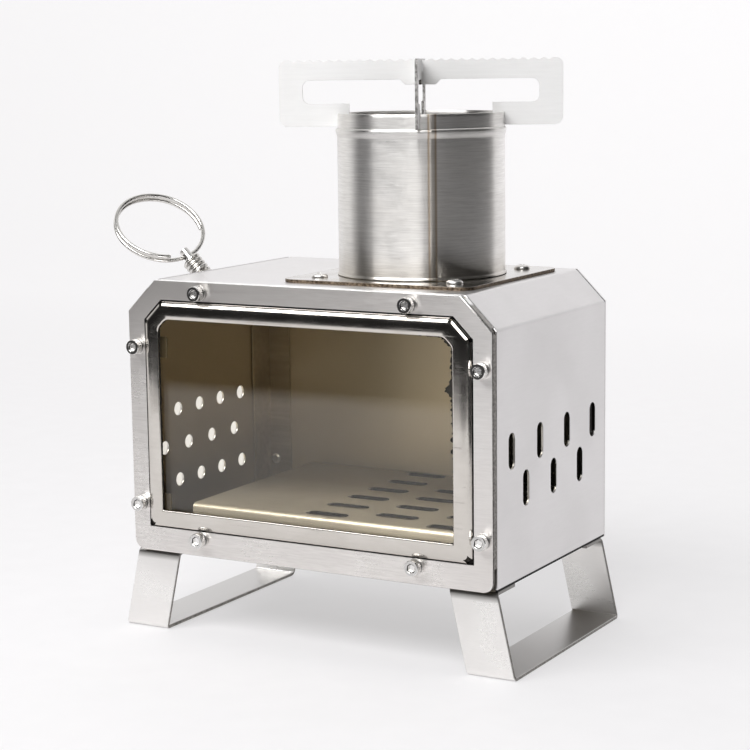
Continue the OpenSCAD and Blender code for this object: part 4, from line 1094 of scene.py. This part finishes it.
# handle, in millimetres and degrees: coil spring on the stud, and the split ring through the stud's hole
handleSet = dict(springWire=1.8, springRadius=3.65, springTurns=4.5, springPitch=2.05, springSteps=48,
                 ringWire=1.9, ringRadius=20.17, ringPitch=2.6, ringFrom=-295.0, ringTo=333.0, ringSteps=260,
                 droop=9.0)
hole = np.array(joints["ring_swing"]["pos_m"])
alongHole = unit(np.array(joints["ring_swing"]["axis"], float))
alongStud = unit(np.array([-1.0, 0, 1.0]))
besideStud = np.cross(alongHole, alongStud)


def springGrid():
    # a helix about the stud
    s = handleSet
    middle = hole + alongStud * ((sum(corners("handle_spring")) / 2 - hole) @ alongStud)
    turn = np.linspace(0, s["springTurns"], int(s["springSteps"] * s["springTurns"]) + 1)[:, None]
    lift = (turn - s["springTurns"] / 2) * s["springPitch"] * mm
    swing = turn * 2 * math.pi
    out = besideStud * np.cos(swing) + alongHole * np.sin(swing)
    path = middle + out * s["springRadius"] * mm + alongStud * lift
    return tube(path, alongStud, s["springWire"] / 2 * mm)


def ringGrid():
    # a split ring: nearly two turns of a flat helix that starts in the stud's hole
    s = handleSet
    droop = math.radians(s["droop"])
    up = alongStud * math.cos(droop) - besideStud * math.sin(droop)
    axis = besideStud * math.cos(droop) + alongStud * math.sin(droop)
    swing = np.radians(np.linspace(s["ringFrom"], s["ringTo"], s["ringSteps"]))[:, None]
    path = hole + mm * (s["ringRadius"] * (alongHole * np.sin(swing) + up * (1 - np.cos(swing)))
                        + axis * s["ringPitch"] * swing / (2 * math.pi))
    return tube(path, axis, s["ringWire"] / 2 * mm)


shellPiece("springCoil", surface(springGrid()), wireSteel, "handle_spring", crease=50)
shellPiece("splitRing", surface(ringGrid()), wireSteel, "handle_ring", crease=50)
print("handle: done")


# solids that stay as they are get their finish
keptFinish = {fastenerSteel: ("front_nuts", "back_rivets", "flange_nuts", "leg_rivets", "hinge_pin"),
              sootyShadedSteel: ("front_ring", "rear_ring", "chimney_collar")}
for finish, kept in keptFinish.items():
    for slot in (slot for node in kept for slot in nodes[node].material_slots):
        slot.material = finish
print("kept solids:", sum(len(kept) for kept in keptFinish.values()))


# studio: a pale table that ends in front of the stove, a sweep behind it, and soft boxes
studioSet = dict(front=-0.642, left=(-0.50, -0.85), right=(0.38, 0.30), curve=1.0, radius=0.6, wall=1.2,
                 steps=24, columns=9, paper=((0.33, 0.325, 0.332), (0.36, 0.355, 0.362)), flecks=(60.0, 3.0),
                 black=(0.02, 0.02, 0.02), fade=0.05, rough=0.8, shine=0.2,
                 glow=(0.52, 0.80), glowFrom=(0.0, 1.6), glowColor=(1.0, 0.99, 0.995), worldTurn=5.0,
                 worldSpan=(0.15, 0.65), world=(0.02, 1.0), worldColor=(1.0, 0.995, 0.99))
keySet = dict(place=(-0.14106216, -0.94431993, 1.12389518), target=(0, 0, 0.12), size=(1.7, 0.7), power=27.0)
topSet = dict(place=(0.0, 0.25, 1.35), target=(0, 0, 0.1), size=(1.2, 1.2), power=2.5)


def makeTable():
    s = studioSet
    end = s["curve"] + s["radius"]
    path = np.array([[s["front"], 0], [end, 0], [end, s["wall"]]])
    line = filleted(path, s["radius"], s["steps"], closed=False)
    run = line[:, :1] - s["front"]
    left, right = (s[key][0] + s[key][1] * run for key in ("left", "right"))
    shares = np.linspace(0, 1, s["columns"])
    grid = np.stack([np.concatenate([left + (right - left) * share, line], 1) for share in shares], 1)
    mesh = bpy.data.meshes.new("paleTable")
    mesh.from_pydata(grid.reshape(-1, 3).tolist(), [], gridFaces(*grid.shape[:2], False, False).tolist())
    smooth(mesh)
    material, tree, shader = newMaterial("palePaper")
    spot = spotIn(tree)
    depth = axesOf(spot)[1]
    inside = ranged(depth, s["front"], s["front"] + s["fade"])
    pale = blendColors(noise(spot, *s["flecks"]), *s["paper"])
    glow = times(inside, ranged(depth, *s["glowFrom"], *s["glow"]))
    fill(shader, {"Base Color": blendColors(inside, s["black"], pale), "Emission Strength": glow,
                  "Emission Color": s["glowColor"], "Roughness": s["rough"],
                  "Specular IOR Level": s["shine"]})
    mesh.materials.append(material)
    newObject("paleTable", mesh)


def softBox(name, s):
    data = bpy.data.lights.new(name, "AREA")
    data.shape, data.size, data.size_y, data.energy = "RECTANGLE", *s["size"], s["power"]
    light = newObject(name, data)
    light.location = s["place"]
    light.rotation_euler = (Vector(s["target"]) - light.location).to_track_quat("-Z", "Y").to_euler()


def makeWorld():
    # bright behind the stove, dark in front of it
    s = studioSet
    world = bpy.data.worlds.new("studio")
    world.use_nodes = True
    tree = world.node_tree
    turn = math.radians(cameraSet["azimuth"] + s["worldTurn"])
    facing = dot(add(tree, "TexCoord").outputs["Generated"], (-math.sin(turn), math.cos(turn), 0))
    spans = enumerate((facing, *s["worldSpan"], *s["world"]))
    amount = add(tree, "MapRange", spans, interpolation_type="SMOOTHSTEP").outputs[0]
    fill(tree.nodes["Background"], {"Strength": amount, "Color": s["worldColor"]})
    bpy.context.scene.world = world


makeTable()
makeWorld()
softBox("keyBox", keySet)
softBox("topBox", topSet)
bpy.context.scene.view_settings.view_transform = "Standard"
print("studio: done")
